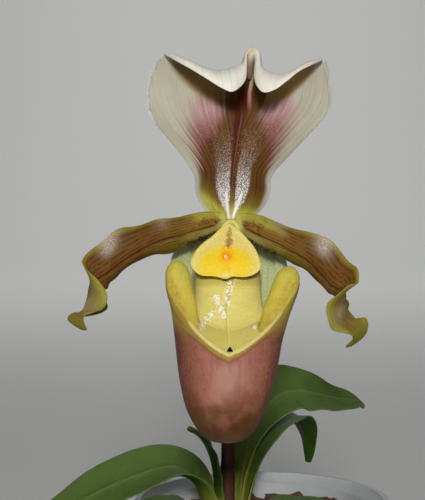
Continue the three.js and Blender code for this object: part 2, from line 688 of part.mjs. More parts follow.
/** The scape rises out of the crown and leans forward to the ovary, in the plant's frame. */
function scape(jointPlace, jointDirection) {
  const before = (distance) => jointPlace.clone().addScaledVector(jointDirection, -distance).toArray();
  const rise = SCAPE_ROUTE.map((step) => step.map((value, axis) => CROWN_CENTRE[axis] + value));
  const path = curve([...rise, before(SCAPE_STRAIGHT), before(GAP)]);
  return stem(path, (t) => SCAPE_RADIUS * through(SCAPE_TAPER, t), 8, 22);
}

// ---- Leaves -------------------------------------------------------------------------------------

// Each leaf grows out of the crown at an azimuth (0 along +X, 90 along +Y). Its path is given in
// the upright plane of that azimuth, as [distance out, height] from the crown's centre.
const LEAVES = [
  {
    azimuth: 186, nest: 5.9, halfWidth: 9.6, roll: -26, swing: 2,
    path: [
      [5.9, -3], [6.3, 5], [8.8, 12], [14.5, 15.3], [24, 13.1], [35, 8.6], [46, 2.4], [57, -5.5], [67, -14],
    ],
  },
  {
    azimuth: 34, nest: 3.7, halfWidth: 9.4, roll: 35, swing: -2,
    path: [
      [3.7, -3], [4.1, 9], [6.5, 20], [11, 28], [17, 32.3],
      [23.5, 32.6], [30, 31], [36, 29.4], [41, 28.6], [44, 27],
    ],
  },
  {
    azimuth: 50, nest: 4.8, halfWidth: 8.4, roll: 10, swing: 4,
    path: [[4.8, -3], [5.3, 7], [8.5, 17], [15, 23.5], [24, 25.5], [32, 23], [37, 16.5], [38.5, 9.5]],
  },
  {
    azimuth: 178, nest: 2.6, halfWidth: 5.4, roll: 10, swing: -14,
    path: [[2.6, -3], [2.9, 8], [3.8, 16], [5.6, 21], [8, 23.8], [11, 25]],
  },
  {
    azimuth: 222, nest: 8.1, halfWidth: 9.2, roll: 6, swing: -6,
    path: [[8.1, -3], [8.8, 2.5], [12, 6.2], [17, 7.4], [26, 7], [36, 2.5], [45, -6], [51, -15]],
  },
  {
    azimuth: 316, nest: 7, halfWidth: 9, roll: -6, swing: 8,
    path: [[7, -3], [7.7, 2.5], [11, 6], [17, 7.6], [26, 8.4], [37, 7], [47, 0], [54, -9]],
  },
];
const LEAF_TAPER = [[0, 1], [0.45, 1], [0.62, 0.86], [0.76, 0.56], [0.88, 0.32], [1, 0.1]];
const LEAF_OPENING = [[0, 0], [0.12, 0.08], [0.38, 0.85], [0.6, 1]];
// The section's half angle in radians at the foot and in the blade, how much of its half width a
// leaf may wrap round the crown, and the share of its length by which its roll is complete.
const LEAF_CLASP = 1.25;
const LEAF_CHANNEL = 0.4;
const LEAF_WRAP = 0.75;
const LEAF_ROLLED = 0.5;
const LEAF_COLUMNS = steps(-1, 1, 6);
const LEAF_ROWS = steps(0, 0.99, 16);

/**
 * A leaf's sheet: across from edge to edge, along from its sheath to its tip. Its section is an arc
 * whose half angle is the curl: round the crown in the sheath, and a shallow channel in the blade.
 */
function leafSheet({ azimuth, nest, halfWidth, roll, swing, path }, across, along) {
  const route = curve(path.map(([out, height]) => [out, 0, height]));
  const place = route.getPoint(along);
  const tangent = route.getTangent(along);
  const bearing = degrees(azimuth + swing * along ** 2);
  const outward = new THREE.Vector3(Math.cos(bearing), Math.sin(bearing), 0);
  const up = new THREE.Vector3(0, 0, 1);
  const direction = outward.clone().multiplyScalar(tangent.x).addScaledVector(up, tangent.z);
  direction.normalize();
  const turn = degrees(roll) * Math.min(along / LEAF_ROLLED, 1) ** 2;
  const side = up.clone().cross(outward).applyAxisAngle(direction, turn);
  const upperFace = direction.clone().cross(side);
  const opening = through(LEAF_OPENING, along);
  const clasp = Math.min(LEAF_CLASP, (LEAF_WRAP * halfWidth) / nest);
  const curl = THREE.MathUtils.lerp(clasp, LEAF_CHANNEL, opening);
  const fullWidth = THREE.MathUtils.lerp(nest * clasp, halfWidth, opening);
  const width = fullWidth * through(LEAF_TAPER, along);
  return new THREE.Vector3(...CROWN_CENTRE)
    .addScaledVector(outward, place.x)
    .addScaledVector(up, place.z)
    .addScaledVector(side, (width * Math.sin(across * curl)) / curl)
    .addScaledVector(upperFace, (width * (1 - Math.cos(across * curl))) / curl);
}

function leaf(shape) {
  const sheet = (across, along) => leafSheet(shape, across, along);
  return blade(sheet, LEAF_COLUMNS, LEAF_ROWS, LEAF_THICKNESS);
}

// ---- Crown and roots ----------------------------------------------------------------------------

/** A profile of [radius, height] turned about the Z axis. */
function latheSolid(profile, sides) {
  const geometry = new THREE.LatheGeometry(profile.map(([r, z]) => new THREE.Vector2(r, z)), sides);
  geometry.rotateX(Math.PI / 2);
  return solidOf(geometry);
}

// The rhizome's profile as [radius short of its full radius, depth under its top], from below, and
// the roots' bearings, their route as [reach, depth under the crown's centre], and their taper.
const CROWN_PROFILE = [[8.4, 8.5], [5.4, 8], [1, 5], [0, 1.5], [1, 0], [8.4, 0]];
const CROWN_SIDES = 16;
const ROOT_BEARINGS = [20, 110, 200, 290];
const ROOT_ROUTE = [[4, 8], [8, 16], [9.5, 30], [6, 44]];
const ROOT_TAPER = [[0, 1], [1, 0.65]];

/** One root of the crown, thickened and lengthened by the extra. */
function root(bearing, extra) {
  const [x, y, z] = CROWN_CENTRE;
  const places = ROOT_ROUTE.map(([reach, depth], step) => {
    const longer = step === ROOT_ROUTE.length - 1 ? extra : 0;
    return [x + reach * Math.cos(bearing), y + reach * Math.sin(bearing), z - depth - longer];
  });
  return stem(curve(places), (t) => (ROOT_RADIUS + extra) * through(ROOT_TAPER, t), 6, 6);
}

/** The rhizome under the leaves, with thick roots spreading down into the bark. */
function crown(extra) {
  const [x, y, z] = CROWN_CENTRE;
  const top = z - SHEATH_DEPTH - 2 * GAP;
  const profile = CROWN_PROFILE.map(([short, depth]) => {
    const radius = CROWN_RADIUS - short;
    return [radius > 0 ? radius + extra : 0, top - depth + (depth > 0 ? -extra : extra)];
  });
  const knob = latheSolid(profile, CROWN_SIDES).translate([x, y, 0]);
  return join([knob, ...ROOT_BEARINGS.map((bearing) => root(degrees(bearing), extra))]);
}

// ---- Pot and bark -------------------------------------------------------------------------------

// The wall is a cone to the rim's foot; above that the rim flares by POT_FLARE.
const POT_FLARE = 3;
const RIM_FOOT = 7;
// The rim's outside and top as [radius short of the rim's, depth under the top].
const RIM_PROFILE = [[0.5, 6], [0.1, 1.2], [0.6, 0.2], [1.4, 0], [2.4, 0.3]];
const RIM_LIP = 0.2;
const RIM_LIP_DEPTH = 2.5;
const FOOT_ROUND = 0.8;
const DRAIN_SIDES = 10;

/** The pot's inner radius at a height above its foot. */
function potInner(z) {
  const spread = POT_RIM_RADIUS - POT_FLARE - POT_FOOT_RADIUS;
  return POT_FOOT_RADIUS - POT_WALL + (spread * z) / POT_HEIGHT;
}

/** The pot's wall and floor, before its drain holes are cut. */
function potBody() {
  const neckHeight = POT_HEIGHT - RIM_FOOT;
  const rim = RIM_PROFILE.map(([short, depth]) => [POT_RIM_RADIUS - short, POT_HEIGHT - depth]);
  return latheSolid([
    [0, 0], [POT_FOOT_RADIUS - FOOT_ROUND, 0], [POT_FOOT_RADIUS, FOOT_ROUND],
    [potInner(neckHeight) + POT_WALL, neckHeight], ...rim,
    [potInner(POT_HEIGHT) - RIM_LIP, POT_HEIGHT - RIM_LIP_DEPTH], [potInner(neckHeight), neckHeight],
    [potInner(POT_WALL), POT_WALL], [0, POT_WALL],
  ], POT_SIDES);
}

function pot() {
  const drains = turns(DRAIN_HOLES).map((angle) => {
    const hole = new THREE.CylinderGeometry(DRAIN_RADIUS, DRAIN_RADIUS, 4 * POT_WALL, DRAIN_SIDES);
    hole.rotateX(Math.PI / 2);
    hole.translate(DRAIN_RING_RADIUS * Math.cos(angle), DRAIN_RING_RADIUS * Math.sin(angle), POT_WALL);
    return solidOf(hole);
  });
  return drains.reduce((left, hole) => left.subtract(hole), potBody());
}

// A chip's smallest size, how much more it may be, how far its corners wander and how far it leans.
const CHIP_SIZE = [10, 7, 3.5];
const CHIP_SPREAD = [7, 5, 3];
const CHIP_JITTER = [0.75, 0.5];
const CHIP_LEAN = 1.1;
// How near the wall a chip's middle may lie, and how high over the packed bark.
const CHIP_MARGIN = 3;
const CHIP_HEIGHT = [0.5, 3];

/** One bark chip: a block with its corners moved a little, so no two are alike. */
function barkChip(random, place) {
  const size = CHIP_SIZE.map((least, axis) => least + CHIP_SPREAD[axis] * random());
  const geometry = new THREE.BoxGeometry(1, 1, 1);
  geometry.deleteAttribute('normal');
  geometry.deleteAttribute('uv');
  const chip = mergeVertices(geometry);
  const corners = chip.attributes.position;
  const jitter = () => CHIP_JITTER[0] + CHIP_JITTER[1] * random();
  for (let i = 0; i < corners.count; i++) {
    corners.setXYZ(i, corners.getX(i) * jitter(), corners.getY(i) * jitter(), corners.getZ(i) * jitter());
  }
  chip.scale(...size);
  chip.rotateX((random() - 0.5) * CHIP_LEAN);
  chip.rotateY((random() - 0.5) * CHIP_LEAN);
  chip.rotateZ(random() * 2 * Math.PI);
  chip.translate(...place);
  return solidOf(chip);
}

const GOLDEN_ANGLE = Math.PI * (3 - Math.sqrt(5));
const BARK_CHAMFER = 2;
const BARK_FOOT = 3;
const NEST = { margin: 3, footMargin: 0.6, height: 24, sides: 20 };

/** The room for bark inside the pot: up to a level along the wall, then to a top by a chamfer. */
function barkRoom(level, shoulder, top) {
  const floor = POT_WALL + GAP;
  return latheSolid([
    [0, floor], [potInner(floor) - BARK_CHAMFER, floor],
    [potInner(floor + BARK_FOOT) - GAP, floor + BARK_FOOT], [potInner(level) - GAP, shoulder],
    [potInner(top) - BARK_CHAMFER, top], [0, top],
  ], POT_SIDES);
}

/** Loose chips on a golden-angle spiral over the top of the packed bark. */
function barkChips() {
  const random = seeded(BARK_SEED);
  const widest = potInner(BARK_LEVEL) - CHIP_MARGIN;
  return Array.from({ length: BARK_CHIPS }, (_, i) => {
    const angle = i * GOLDEN_ANGLE;
    const reach = widest * Math.sqrt((i + 0.5) / BARK_CHIPS);
    const height = BARK_LEVEL + CHIP_HEIGHT[0] + CHIP_HEIGHT[1] * random();
    return barkChip(random, [reach * Math.cos(angle), reach * Math.sin(angle), height]);
  });
}

/** The bark: a packed filling with loose chips on top, kept clear of the pot and of the crown. */
function barkMix() {
  const filling = barkRoom(BARK_LEVEL, BARK_LEVEL - 1, BARK_LEVEL);
  const room = barkRoom(BARK_LEVEL, BARK_LEVEL, POT_HEIGHT - 1);
  const [x, y, z] = CROWN_CENTRE;
  const nest = new THREE.CylinderGeometry(
    CROWN_RADIUS + NEST.margin, CROWN_RADIUS + NEST.footMargin, NEST.height, NEST.sides,
  );
  nest.rotateX(Math.PI / 2);
  nest.translate(x, y, z - SHEATH_DEPTH - 2 * GAP + NEST.height / 2);
  return clearOf(join([filling, ...barkChips()]).intersect(room), [solidOf(nest), crown(GAP)]);
}

// ---- The plant in its pot -----------------------------------------------------------------------

const plant = new THREE.Group();

const flower = new THREE.Group();
flower.position.set(...FLOWER_CENTRE);
flower.rotation.x = degrees(FLOWER_TILT_DEG);
plant.add(flower);
flower.updateMatrixWorld(true);

// What joins at the flower's centre is trimmed to stand clear of its neighbours' thickened copies.
const fatDorsal = dorsalSepal(SEPAL_THICKNESS + CLEARANCE);
const fatSynsepal = synsepal(SEPAL_THICKNESS + CLEARANCE);
const raisedSynsepal = fatSynsepal.translate([0, 0, GAP]);
const loweredDorsal = fatDorsal.translate([0, 0, -GAP]);
const fatPetals = Object.keys(PETALS).map((name) => petal(name, PETAL_THICKNESS + CLEARANCE));
const fatLip = lip(LIP_WALL + CLEARANCE);

const columnSolid = clearOf(column(), [fatDorsal, ...fatPetals, fatLip]);
const sepals = [fatDorsal, loweredDorsal, fatSynsepal, raisedSynsepal];
const ovarySolid = clearOf(ovary(), [...sepals, ...fatPetals, fatLip]);

flower.add(meshOf('dorsal_sepal', dorsalSepal(SEPAL_THICKNESS), MATERIALS.dorsal));
flower.add(meshOf('synsepal', synsepal(SEPAL_THICKNESS), MATERIALS.synsepal));
for (const name of Object.keys(PETALS)) {
  flower.add(meshOf(name, petal(name, PETAL_THICKNESS), MATERIALS.petal));
}
flower.add(meshOf('lip', lip(LIP_WALL), MATERIALS.lip));
flower.add(meshOf('column', columnSolid, MATERIALS.column));
flower.add(meshOf('ovary', ovarySolid, MATERIALS.ovary));
flower.add(meshOf('bract', bract(), MATERIALS.bract));

const jointPlace = flower.localToWorld(OVARY_JOINT.clone());
const jointDirection = OVARY_PATH.getTangent(0).transformDirection(flower.matrixWorld);
plant.add(meshOf('scape', scape(jointPlace, jointDirection), MATERIALS.scape));

LEAVES.forEach((shape, i) => {
  plant.add(meshOf(`leaf_${i + 1}`, leaf(shape), MATERIALS.leaf));
});

plant.add(meshOf('crown', crown(0), MATERIALS.root));
plant.add(meshOf('bark_mix', barkMix(), MATERIALS.bark));
plant.add(meshOf('pot', pot(), MATERIALS.pot));

export default plant;
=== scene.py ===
"""A slipper orchid (Paphiopedilum) in a nursery pot of bark.

Every piece is a surface worked out with numpy, in millimetres. The flower is drawn in a frame of
its own: X to the right, Y away from the viewer, Z up, from the point where sepals, petals, lip and
column meet. The rest is drawn in the plant's frame, from the centre of the pot's foot.
"""
import math

import bpy
import numpy as np
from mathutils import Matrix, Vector
from bpy.props import FloatProperty, FloatVectorProperty, IntProperty, PointerProperty


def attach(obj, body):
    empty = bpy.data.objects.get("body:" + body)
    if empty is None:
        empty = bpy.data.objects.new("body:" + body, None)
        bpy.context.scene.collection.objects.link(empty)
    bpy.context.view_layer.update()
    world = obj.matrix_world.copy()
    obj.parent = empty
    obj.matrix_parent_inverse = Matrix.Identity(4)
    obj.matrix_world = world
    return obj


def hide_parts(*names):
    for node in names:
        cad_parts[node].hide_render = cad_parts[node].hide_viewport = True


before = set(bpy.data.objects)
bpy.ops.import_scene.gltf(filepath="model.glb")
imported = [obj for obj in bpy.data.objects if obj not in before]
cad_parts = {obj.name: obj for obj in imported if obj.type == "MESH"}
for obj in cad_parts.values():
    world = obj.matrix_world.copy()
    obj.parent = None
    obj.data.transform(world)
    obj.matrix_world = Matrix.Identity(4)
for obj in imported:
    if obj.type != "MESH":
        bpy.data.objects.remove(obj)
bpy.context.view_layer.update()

bl_info = {
    "name": "Potted slipper orchid",
    "version": (1, 0, 0),
    "blender": (4, 5, 0),
    "location": "3D View > Sidebar > Orchid",
    "description": "Makes a slipper orchid in flower, its leaves, its bark and its pot",
    "category": "Add Mesh",
}

MM = 0.001

FLOWER_CENTRE = (-9.3, -64.2, 139.3)
FLOWER_TILT = math.radians(-4.5)
CROWN_CENTRE = (-9, -8, 57)

UP = np.array([0.0, 0.0, 1.0])
ACROSS = np.array([1.0, 0.0, 0.0])
DEPTH = np.array([0.0, 1.0, 0.0])


# ---- Curves and profiles ------------------------------------------------------------------------


def route(points, t):
    """A smooth curve through points: uniform Catmull-Rom, where each span is the cubic that leaves
    a point along half the line between its neighbours, and t runs from 0 to 1 over all spans."""
    knots = np.asarray(points, float)
    ends = np.vstack([2 * knots[0] - knots[1], knots, 2 * knots[-1] - knots[-2]])
    place = np.clip(t, 0, 1) * (len(knots) - 1)
    index = np.minimum(place.astype(int), len(knots) - 2)
    w = (place - index)[..., None]
    before, start, end, after = (ends[index + k] for k in range(4))
    leave, arrive = (end - before) / 2, (after - start) / 2
    return (
        (2 * w**3 - 3 * w**2 + 1) * start + (w**3 - 2 * w**2 + w) * leave
        + (3 * w**2 - 2 * w**3) * end + (w**3 - w**2) * arrive
    )


def heading(points, t):
    """The unit direction of the route at t, from a small step to either side."""
    step = 1e-4
    return unit(route(points, t + step) - route(points, t - step))


def through(pairs, at):
    """A smooth height through (position, height) pairs: cubic spans whose slope at a pair is the
    mean of its two neighbours' slopes, or level where they change sign, so it never overshoots."""
    x, y = np.asarray(pairs, float).T
    slopes = np.diff(y) / np.diff(x)
    mean = np.where(slopes[:-1] * slopes[1:] <= 0, 0, (slopes[:-1] + slopes[1:]) / 2)
    tangents = np.concatenate([slopes[:1], mean, slopes[-1:]])
    at = np.clip(at, x[0], x[-1])
    i = np.clip(np.searchsorted(x, at, side="right") - 1, 0, len(x) - 2)
    width = x[i + 1] - x[i]
    t = (at - x[i]) / width
    return (
        (2 * t**3 - 3 * t**2 + 1) * y[i] + (t**3 - 2 * t**2 + t) * width * tangents[i]
        + (3 * t**2 - 2 * t**3) * y[i + 1] + (t**3 - t**2) * width * tangents[i + 1]
    )


def unit(vectors):
    """The vectors at length one; a zero vector stays zero."""
    length = np.linalg.norm(vectors, axis=-1, keepdims=True)
    return vectors / np.maximum(length, 1e-12)


def ease(value, low, high):
    """0 below low, 1 above high, and 3t^2 - 2t^3 between them."""
    t = np.clip((value - low) / (high - low), 0, 1)
    return t * t * (3 - 2 * t)


def hump(value, middle, width):
    """A bell: exp(-((value - middle) / width)^2)."""
    return np.exp(-(((value - middle) / width) ** 2))


def grid(columns, rows):
    """Two arrays, rows by columns, that hold each grid point's column value and row value."""
    return np.meshgrid(np.asarray(columns, float), np.asarray(rows, float))


def in_plant(points):
    """The flower's points in the plant's frame: turned about X by the tilt, then moved."""
    c, s = math.cos(FLOWER_TILT), math.sin(FLOWER_TILT)
    turn = np.array([[1, 0, 0], [0, c, -s], [0, s, c]])
    return points @ turn.T + FLOWER_CENTRE


# ---- Meshes -------------------------------------------------------------------------------------


class Skin:
    """Points, faces and named values at the points, on the way to becoming one mesh."""

    def __init__(self, points, quads, triangles=(), **values):
        self.points = np.asarray(points, float).reshape(-1, 3)
        self.quads = np.asarray(quads, int).reshape(-1, 4)
        self.triangles = np.asarray(triangles, int).reshape(-1, 3)
        self.values = {name: np.broadcast_to(v, len(self.points)) for name, v in values.items()}

    def volume(self):
        """Six times the volume inside: the sum of the triple products of its triangles."""
        halves = [self.quads[:, :3], self.quads[:, [0, 2, 3]], self.triangles]
        a, b, c = np.moveaxis(self.points[np.concatenate(halves)], 1, 0)
        middle = self.points.mean(0)
        return np.einsum("ij,ij->", a - middle, np.cross(b - middle, c - middle))

    def outward(self):
        """The same skin with its faces turned to point out."""
        if self.volume() < 0:
            self.quads, self.triangles = self.quads[:, ::-1], self.triangles[:, ::-1]
        return self

    def moved(self, points):
        return Skin(points, self.quads, self.triangles, **self.values)

    def placed(self):
        """The flower's skin in the plant's frame."""
        return self.moved(in_plant(self.points))


def together(skins):
    """Several skins as one; a value that one of them lacks is 0 there."""
    starts = np.cumsum([0] + [len(s.points) for s in skins[:-1]])
    names = {name for s in skins for name in s.values}
    zero = lambda s: np.zeros(len(s.points))
    return Skin(
        np.concatenate([s.points for s in skins]),
        np.concatenate([s.quads + start for s, start in zip(skins, starts)]),
        np.concatenate([s.triangles + start for s, start in zip(skins, starts)]),
        **{n: np.concatenate([s.values.get(n, zero(s)) for s in skins]) for n in names},
    )


def cells(index):
    """The quads of a grid of point numbers."""
    return np.stack([index[:-1, :-1], index[:-1, 1:], index[1:, 1:], index[1:, :-1]], -1).reshape(-1, 4)


def facing(points):
    """Unit normals of a grid of points: its gradient along the columns crossed with that down the rows."""
    down, along = np.gradient(points, axis=(0, 1))
    return unit(np.cross(along, down))


def blade(points, half, **values):
    """A closed blade: the grid pushed both ways along its normals by the half thickness, and a
    strip of quads round its boundary. The value side is 1 on the face that is pushed forward."""
    rows, columns = points.shape[:2]
    push = facing(points) * np.broadcast_to(half, (rows, columns))[..., None]
    front = np.arange(rows * columns).reshape(rows, columns)
    back = front + rows * columns
    rim = np.concatenate([front[0, :-1], front[:-1, -1], front[-1, :0:-1], front[:0:-1, 0]])
    strip = np.stack([rim, rim + rows * columns, np.roll(rim, -1) + rows * columns, np.roll(rim, -1)], -1)
    side = np.repeat([1.0, -1.0], rows * columns)
    both = {name: np.tile(np.broadcast_to(v, (rows, columns)).ravel(), 2) for name, v in values.items()}
    quads = np.concatenate([cells(front), cells(back)[:, ::-1], strip])
    return Skin(np.concatenate([(points + push).reshape(-1, 3), (points - push).reshape(-1, 3)]), quads,
                side=side, **both).outward()


def loft(rings, **values):
    """Closed rings joined into one skin, with a fan of triangles to the middle of each end ring."""
    rows, columns = rings.shape[:2]
    index = np.arange(rows * columns).reshape(rows, columns)
    quads = cells(np.hstack([index, index[:, :1]]))
    first, last = index[0], index[-1]
    caps = [np.stack([np.full(columns, rows * columns + k), ring, np.roll(ring, -1)], -1)
            for k, ring in enumerate((first[::-1], last))]
    points = np.concatenate([rings.reshape(-1, 3), rings[0].mean(0)[None], rings[-1].mean(0)[None]])
    whole = {}
    for name, value in values.items():
        value = np.broadcast_to(value, (rows, columns))
        whole[name] = np.concatenate([value.ravel(), [value[0].mean(), value[-1].mean()]])
    return Skin(points, quads, np.concatenate(caps), **whole).outward()


def turns(count):
    """Angles once round, without the last, which is the first again."""
    return np.arange(count) * 2 * math.pi / count


def tube(path, radius, sides, lateral=ACROSS, **values):
    """Round rings carried along a path: each ring stands square to the path's own direction."""
    direction = unit(np.gradient(path, axis=0))
    side = unit(lateral - direction * (direction @ lateral)[:, None])
    other = np.cross(direction, side)
    angle = turns(sides)[None, :, None]
    reach = np.broadcast_to(np.asarray(radius, float).reshape(len(path), -1), (len(path), sides))[..., None]
    rings = path[:, None] + reach * (np.cos(angle) * side[:, None] + np.sin(angle) * other[:, None])
    return loft(rings, **values)


def lathe(profile, sides):
    """A profile of (radius, height) turned about Z; its ends are closed on the axis."""
    radius, height = np.asarray(profile, float).T
    angle = turns(sides)
    rings = np.stack([radius[:, None] * np.cos(angle), radius[:, None] * np.sin(angle),
                      np.repeat(height[:, None], sides, 1)], -1)
    return loft(rings)


def hairs(roots, directions, lengths, radius, droop):
    """Tapering three-sided hairs: root + direction * t * length + droop * t^2 * length, with their
    three rings at a third of the length each and closed at both ends."""
    shares = np.array([0, 1 / 3, 2 / 3])
    angle = turns(3)
    side = unit(np.cross(directions, UP + 0.01 * ACROSS))
    other = np.cross(directions, side)
    reach = lengths[:, None, None]
    along = lambda t: directions[:, None] * t * reach + droop[:, None] * t**2 * reach
    spine = roots[:, None] + along(shares[None, :, None])
    round_ = np.cos(angle)[:, None] * side[:, None, None] + np.sin(angle)[:, None] * other[:, None, None]
    rings = spine[:, :, None] + round_ * (radius * (1 - 0.75 * shares))[None, :, None, None]
    tips = roots + (directions + droop) * lengths[:, None]
    points = np.concatenate([rings.reshape(len(roots), 9, 3), tips[:, None]], 1)
    ring = np.arange(3)
    wall = np.concatenate([np.stack([ring + s, (ring + 1) % 3 + s, (ring + 1) % 3 + s + 3, ring + s + 3], -1)
                           for s in (0, 3)])
    ends = np.concatenate([np.stack([ring + 6, (ring + 1) % 3 + 6, np.full(3, 9)], -1), [[2, 1, 0]]])
    start = (np.arange(len(roots)) * 10)[:, None, None]
    return Skin(points, wall + start, ends + start, tip=np.tile([0] * 9 + [1.0], len(roots)))


def piece(name, skin, material, node, body="root"):
    """The skin as a smooth-shaded object in metres, which stands for a CAD node."""
    mesh = bpy.data.meshes.new(name)
    mesh.vertices.add(len(skin.points))
    mesh.vertices.foreach_set("co", (skin.points * MM).ravel())
    corners = np.concatenate([skin.quads.ravel(), skin.triangles.ravel()])
    sizes = np.repeat([4, 3], [len(skin.quads), len(skin.triangles)])
    mesh.loops.add(len(corners))
    mesh.loops.foreach_set("vertex_index", corners)
    mesh.polygons.add(len(sizes))
    mesh.polygons.foreach_set("loop_start", np.cumsum(sizes) - sizes)
    mesh.polygons.foreach_set("use_smooth", np.ones(len(sizes), bool))
    write_values(mesh, skin.values)
    mesh.update(calc_edges=True)
    mesh.validate()
    mesh.materials.append(material)
    obj = bpy.data.objects.new(name, mesh)
    bpy.context.scene.collection.objects.link(obj)
    if node:
        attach(obj, body)
        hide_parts(node)
    return obj


def cut_out(obj, cutter, name, solver="EXACT"):
    """Adds the modifier that takes the cutter's volume out of the object."""
    cut = obj.modifiers.new(name, "BOOLEAN")
    cut.operation, cut.object, cut.solver = "DIFFERENCE", cutter, solver


def apply_all(obj, cutter):
    """Makes the object's modifiers part of its mesh, smooth-shaded, and removes the cutter."""
    seen = obj.evaluated_get(bpy.context.evaluated_depsgraph_get())
    mesh = bpy.data.meshes.new_from_object(seen)
    obj.modifiers.clear()
    obj.data = mesh
    bpy.data.objects.remove(cutter)
    mesh.polygons.foreach_set("use_smooth", np.ones(len(mesh.polygons), bool))
    return mesh


def write_values(mesh, values):
    """Stores named values at the mesh's points."""
    for key, value in values.items():
        mesh.attributes.new(key, "FLOAT", "POINT").data.foreach_set("value", value.astype(np.float32))


def read_points(mesh):
    points = np.empty(len(mesh.vertices) * 3)
    mesh.vertices.foreach_get("co", points)
    return points.reshape(-1, 3) / MM


# ---- Finishes -----------------------------------------------------------------------------------


class Field:
    """A number or colour that varies over a material: an output of one of its nodes. It adds,
    subtracts and multiplies as numbers do, each time through a node of its own."""

    def __init__(self, finish, socket):
        self.finish, self.socket = finish, socket

    def __add__(self, other):
        return self.finish.math("ADD", self, other)

    def __sub__(self, other):
        return self.finish.math("SUBTRACT", self, other)

    def __mul__(self, other):
        return self.finish.math("MULTIPLY", self, other)

    def __abs__(self):
        return self.finish.math("ABSOLUTE", self)

    def larger(self, other):
        return self.finish.math("MAXIMUM", self, other)

    def ease(self, low, high, start=0.0, end=1.0):
        """Start below low, end above high, and smooth between them."""
        inputs = {"Value": self, "From Min": low, "From Max": high, "To Min": start, "To Max": end}
        return self.finish.node("ShaderNodeMapRange", inputs, "Result", interpolation_type="SMOOTHSTEP")

    def wave(self, cycles):
        """A sine from 0 to 1 with so many cycles for each unit."""
        return self.finish.math("SINE", self * (cycles * 2 * math.pi)).ease(-1.2, 1.2)


class Finish:
    """One material: a principled shader, and short calls that add the nodes which feed it."""

    def __init__(self, name, soft=(), **constants):
        """A soft finish lets light in: by a share, and so many millimetres deep."""
        self.material = bpy.data.materials.new(name)
        self.material.use_nodes = True
        self.tree = self.material.node_tree
        self.shader = self.tree.nodes["Principled BSDF"]
        for key, value in constants.items():
            self.set({"specular": "Specular IOR Level"}.get(key, key.title()), value)
        if soft:
            self.set("Subsurface Weight", soft[0])
            self.set("Subsurface Scale", soft[1] * MM)
        self.object_place = self.node("ShaderNodeTexCoord", {}, "Object")

    def put(self, socket, value):
        """Links a field to the socket, or sets the socket to a number, vector or colour."""
        if isinstance(value, Field):
            self.tree.links.new(value.socket, socket)
        elif isinstance(value, (int, float)):
            socket.default_value = value
        else:
            socket.default_value = (*value, 1)[: len(socket.default_value)]

    def set(self, key, value):
        self.put(self.shader.inputs[key], value)

    def node(self, kind, inputs, output, **settings):
        """The named output of a new node with these inputs and settings."""
        node = self.tree.nodes.new(kind)
        for key, value in settings.items():
            setattr(node, key, value)
        for key, value in inputs.items():
            self.put(node.inputs[key], value)
        return Field(self, node.outputs[output])

    def value(self, name):
        """A named value of the mesh's points."""
        return self.node("ShaderNodeAttribute", {}, "Fac", attribute_name=name)

    def math(self, operation, first, second=0.0):
        return self.node("ShaderNodeMath", {0: first, 1: second}, 0, operation=operation)

    def mix(self, factor, first, second):
        return self.node("ShaderNodeMix", {0: factor, 6: first, 7: second}, 2, data_type="RGBA")

    def lay(self, colour, *coats):
        """Coats of (factor, colour) laid over a first colour, one after another."""
        for factor, coat in coats:
            colour = self.mix(factor, colour, coat)
        return colour

    def noise(self, grain, place=None, detail=3.0, roughness=0.55):
        """Noise whose lumps are about grain across: in millimetres, or in the place's own units."""
        scale = 1 / grain if place else 1 / (grain * MM)
        inputs = {"Vector": place or self.object_place, "Scale": scale, "Detail": detail}
        return self.node("ShaderNodeTexNoise", inputs | {"Roughness": roughness}, "Fac")

    def grit(self, grain):
        """Noise without finer detail, for papillae and glints."""
        return self.noise(grain, detail=1.5)

    def scatter(self, size):
        """The distance to the nearest of scattered points about a size in millimetres apart."""
        inputs = {"Vector": self.object_place, "Scale": 1 / (size * MM)}
        return self.node("ShaderNodeTexVoronoi", inputs, "Distance")

    def streaks(self, across, along, count, stretch, seed, detail=2.0):
        """Noise drawn out along a blade: count lumps across it for each unit, stretch down it."""
        place = {0: across * count, 1: along * stretch, 2: seed}
        return self.noise(1.0, self.node("ShaderNodeCombineXYZ", place, 0), detail)

    def bump(self, height, depth, strength):
        """A fine relief of the given depth in millimetres."""
        inputs = {"Height": height, "Distance": depth * MM, "Strength": strength}
        self.set("Normal", self.node("ShaderNodeBump", inputs, "Normal"))


def colour_property(name, description, default):
    return FloatVectorProperty(name=name, description=description, default=default, subtype="COLOR",
                               size=3, min=0, max=1)


def length_property(name, description, default):
    return FloatProperty(name=name, description=description, default=default * MM, unit="LENGTH", min=0)


def count_property(name, description, default):
    return IntProperty(name=name, description=description, default=default, min=0)


def power_property(name, description, default):
    return FloatProperty(name=name, description=description, default=default, unit="POWER")


# ---- Settings -----------------------------------------------------------------------------------


